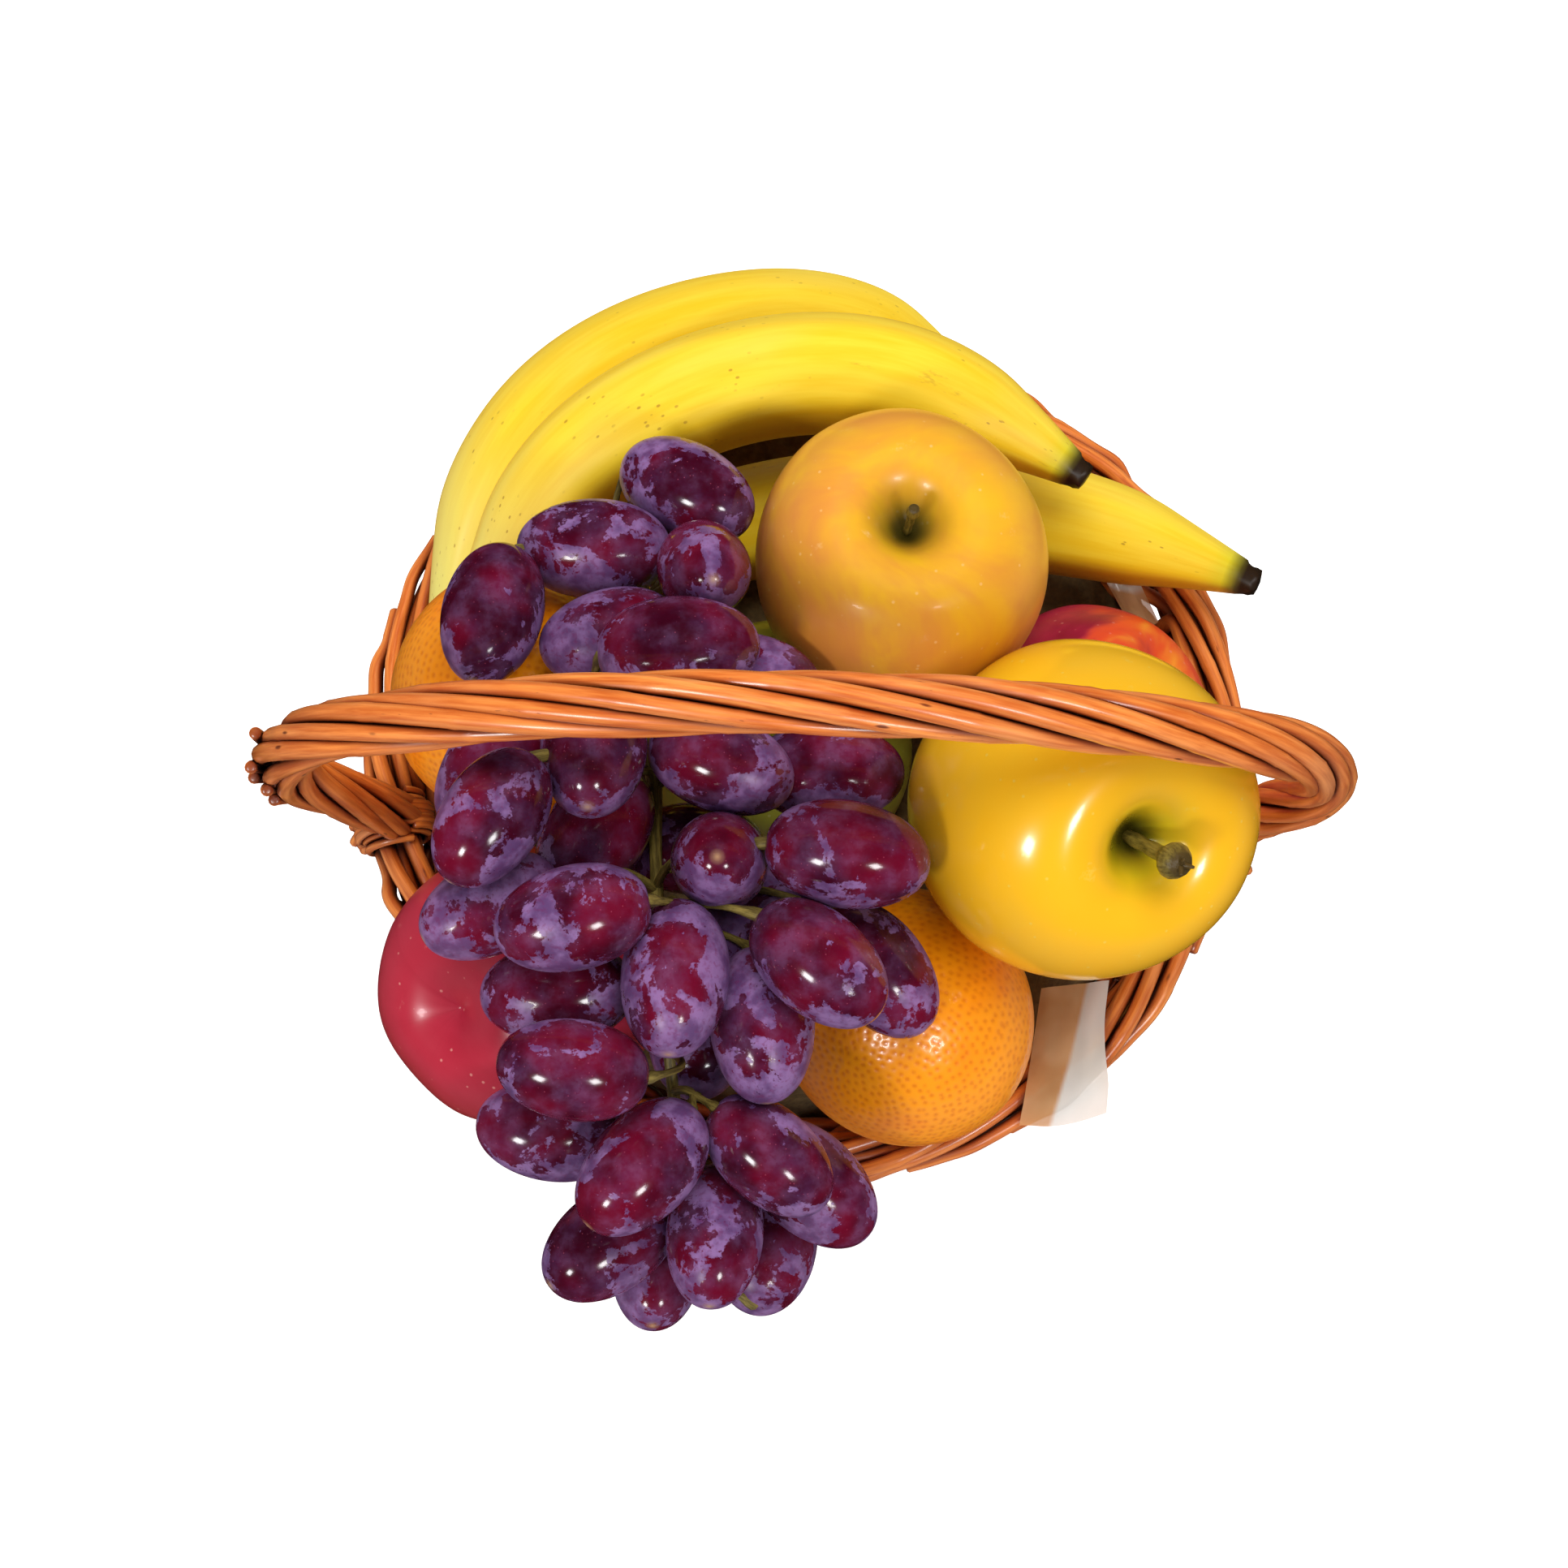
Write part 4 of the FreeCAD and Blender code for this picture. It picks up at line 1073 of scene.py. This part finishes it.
# ---- grapes ---------------------------------------------------------------------------------------------
RACHIS = np.array(((-42, 24, 146), (-39, 0, 152), (-36, -32, 158), (-34, -62, 162), (-31, -92, 158),
                   (-28, -114, 146), (-25, -130, 130))) * MM


def islands(node):
    """The middle, long axis, half length and half width of each separate oval in a CAD node."""
    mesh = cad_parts[node].data
    points = np.zeros(len(mesh.vertices) * 3)
    mesh.vertices.foreach_get("co", points)
    points = points.reshape(-1, 3)
    keys = {}
    same = [keys.setdefault(tuple(np.round(p, 6)), i) for i, p in enumerate(points)]
    parent = list(range(len(points)))

    def root(i):
        while parent[i] != i:
            parent[i] = parent[parent[i]]
            i = parent[i]
        return i

    for i, j in enumerate(same):
        parent[root(i)] = root(j)
    for edge in mesh.edges:
        a, b = edge.vertices
        parent[root(a)] = root(b)
    groups = {}
    for i in range(len(points)):
        groups.setdefault(root(i), []).append(i)
    out = []
    for members in groups.values():
        cloud = points[members]
        middle = (cloud.max(0) + cloud.min(0)) / 2
        far = cloud[np.argmax(np.linalg.norm(cloud - middle, axis=1))]
        long_axis = unit(far - middle)
        reach = np.abs((cloud - middle) @ long_axis).max()
        off = (cloud - middle) - np.outer((cloud - middle) @ long_axis, long_axis)
        out.append((middle, long_axis, reach, np.linalg.norm(off, axis=1).max()))
    return sorted(out, key=lambda g: tuple(np.round(g[0], 5)))


def nearest_on(line, point):
    """The nearest place on a line to a point, and how far off it is."""
    run = evenly(line, 1 * MM)
    gaps = np.linalg.norm(run - point, axis=1)
    return run[np.argmin(gaps)], gaps.min()


GRAPES = {node: islands(node) for node in ("grapes_top", "grapes_middle", "grapes_tail")}
PEDUNCLE = spline(RACHIS, 120)


def grapes():
    stems = Shell()
    dice = np.random.default_rng(5)
    knots = 1 + 0.12 * np.sin(np.arange(120) / 5.0)
    tube(stems, PEDUNCLE, np.linspace(2.1, 1.3, 120) * MM * knots, 12, (1, 0, 0), tone=0.5)
    rows, columns = 40, 40
    for node, found in GRAPES.items():
        shell = Shell()
        for middle, axis, long_half, wide_half in found:
            ends = [middle - axis * long_half, middle + axis * long_half]
            gaps = [nearest_on(PEDUNCLE, end)[1] for end in ends]
            stem_end = ends[int(np.argmin(gaps))]
            up = unit(stem_end - middle)
            side = unit(np.cross(up, (0.3, 0.2, 1.0)))
            other = np.cross(up, side)
            t = np.linspace(0, np.pi, rows)
            height = np.cos(t) * long_half
            plump = np.sin(t) ** 0.93 * wide_half * (1 + 0.035 * np.cos(t))
            turn = once_round(columns)
            dent = 0.05 * long_half * np.exp(-(np.sin(t) / 0.10) ** 2) * (np.cos(t) > 0)
            height = height - dent
            wave = 1 + 0.012 * np.cos(2 * turn + any_phase(dice)) + 0.008 * np.cos(3 * turn)
            points = (middle + height[1:-1, None, None] * up
                      + (plump[1:-1, None] * wave)[:, :, None] * swung(turn, side, other))
            flat = points.reshape(-1, 3)
            poles = np.array([middle + up * height[0], middle + up * height[-1]])
            flat = np.concatenate([flat, poles])
            scar = np.exp(-(np.sin(t) / 0.075) ** 2) * (np.cos(t) < 0)
            mark = np.concatenate([np.repeat(scar[1:-1], columns), [0.0, 1.0]])
            grain = flat - middle + dice.uniform(0, 1.0, 3)
            shell.add(flat, poled_faces(rows - 2, columns), grain, dice.uniform(0, 1), mark * 0.8)
            foot_point, gap = nearest_on(PEDUNCLE, stem_end)
            bend = (foot_point + stem_end) / 2 + up * 0.18 * gap + np.array([0, 0, 0.05 * gap])
            path = spline([foot_point, bend, stem_end - up * 1.2 * MM], 16)
            swell = 0.9 * np.exp(-((np.linspace(0, 1, 16) - 0.97) / 0.10) ** 2)
            thick = 0.75 + 0.35 * np.linspace(1, 0, 16) + swell
            tube(stems, path, thick * MM, 8, unit(np.cross(up, (0.9, 0.3, 0.2))), tone=0.5, cap_mark=0.3)
        shell.build(node + "_fruit", GRAPE, "grape_bunch", node, slot="grape_skin")
    stems.build("grape_twigs", STEM, "grape_bunch", "grape_stalks", slot="grape_stem")


# ---- put it together ----------------------------------------------------------------------------------
side_stakes()
side_weave()
waling("lower_waling", "lower_wale", *LOWER_WALE, 60)
waling("upper_waling", "upper_wale", *UPPER_WALE, 70)
foot()
base()
border()
handle()
lashing("lashing_left", "handle_tie_left", -1)
lashing("lashing_right", "handle_tie_right", 1)
packing()
flap("liner_front", "paper_flap_front", ((63.5, -68), (81.0, -66)), ((57.5, -104), (81.5, -99)),
     ((92, 94.0), (99, 95.8), (107, 97.2), (114, 96.8), (120.5, 93.0), (124, 88.5), (129, 82.5)),
     0.35)
flap("liner_back", "paper_flap_back", ((91.6, 33.3), (80.8, 54.5)), ((96.9, 35.3), (85.6, 57.7)),
     ((97.5, 84.5), (101.2, 87.5), (103.2, 91.0)), 0.15)

fruit("orange_left", "left_orange", ORANGE, "basket", "orange_peel", 0.0, 1, 200, 260, pores=2600)
fruit("orange_front", "front_orange", ORANGE, "basket", "orange_peel", 0.0, 2, 200, 260, pores=2600)
fruit("apple_red", "red_apple", RED_APPLE, "basket", "red_apple_skin", 0.035, 3)
fruit("nectarine", "nectarine_fruit", NECTARINE, "basket", "nectarine_skin", 0.0, 4)
fruit("apple_middle", "middle_apple", MIDDLE_APPLE, "basket", "green_apple_skin", 0.03, 5)
fruit("apple_top", "gold_apple", TOP_APPLE, "top_apple", "gold_apple_skin", 0.03, 6)
fruit("apple_front", "yellow_apple", FRONT_APPLE, "front_apple", "yellow_apple_skin", 0.04, 7)
stalk("apple_top_stalk", "gold_apple_stalk", "apple_top", "top_apple", (0.03, 0.02, 1.0),
      17.0, 17.0, 1.1, 1.6, 0.8)
stalk("apple_front_stalk", "yellow_apple_stalk", "apple_front", "front_apple", (0.40, -0.48, 0.78),
      19.5, 24.0, 1.9, 4.2, 0.8)
for number, banana_node in enumerate(BANANAS):
    banana(banana_node, number + 1)
banana_crown()
grapes()


# ---- floor, light and camera ---------------------------------------------------------------------------
FLOOR_HALF = 3.0
WORLD_STRENGTH = 0.36
# Each area light: name, place, size and power. They all point at one spot in the middle of the fruit.
LIGHTS = (("window_left", (-0.75, -1.0, 1.25), 0.28, 8.5),
          ("window_right", (0.65, -0.95, 1.35), 0.26, 6.5),
          ("soft_above", (0.1, 0.5, 1.8), 1.2, 30.0))
LIT_SPOT = Vector((0, 0, 0.12))
CAMERA_PLACE = (0, -0.1830, 0.7263)
CAMERA_RIGHT = (0.9998, 0.0190, -0.0030)
CAMERA_BACK = (0.0079, -0.2588, 0.9659)
LENS, SENSOR = 55.9, 36.0


def studio():
    floor_mesh = bpy.data.meshes.new("floor")
    corners = [(x * FLOOR_HALF, y * FLOOR_HALF, 0) for x, y in ((-1, -1), (1, -1), (1, 1), (-1, 1))]
    floor_mesh.from_pydata(corners, [], [(0, 1, 2, 3)])
    floor = new_object("floor", floor_mesh)
    pale = Finish("floor_white", Roughness=0.9, Emission_Color=(1, 1, 1, 1), Emission_Strength=0.5)
    pale.finish(linear("fafafa"))
    floor_mesh.materials.append(pale.material)
    floor.visible_glossy = False
    world = bpy.data.worlds.new("studio")
    world.use_nodes = True
    background = next(n for n in world.node_tree.nodes if n.type == "BACKGROUND")
    background.inputs[0].default_value = (1, 1, 1, 1)
    background.inputs[1].default_value = WORLD_STRENGTH
    world.cycles_visibility.glossy = False
    bpy.context.scene.world = world
    for name, place_at, size, power in LIGHTS:
        light = bpy.data.lights.new(name, "AREA")
        light.energy, light.size = power, size
        lamp = new_object(name, light)
        lamp.location = place_at
        lamp.rotation_mode = "QUATERNION"
        lamp.visible_glossy = name != "soft_above"
        lamp.rotation_quaternion = (LIT_SPOT - lamp.location).to_track_quat("-Z", "Y")


def camera():
    data = bpy.data.cameras.new("camera")
    data.lens, data.sensor_width = LENS, SENSOR
    eye = new_object("camera", data)
    right = Vector(CAMERA_RIGHT).normalized()
    back = Vector(CAMERA_BACK).normalized()
    up = back.cross(right).normalized()
    turn = Matrix((right, up, back)).transposed().to_4x4()
    eye.matrix_world = Matrix.Translation(CAMERA_PLACE) @ turn
    bpy.context.scene.camera = eye


studio()
camera()
bpy.context.scene.view_settings.view_transform = "Standard"
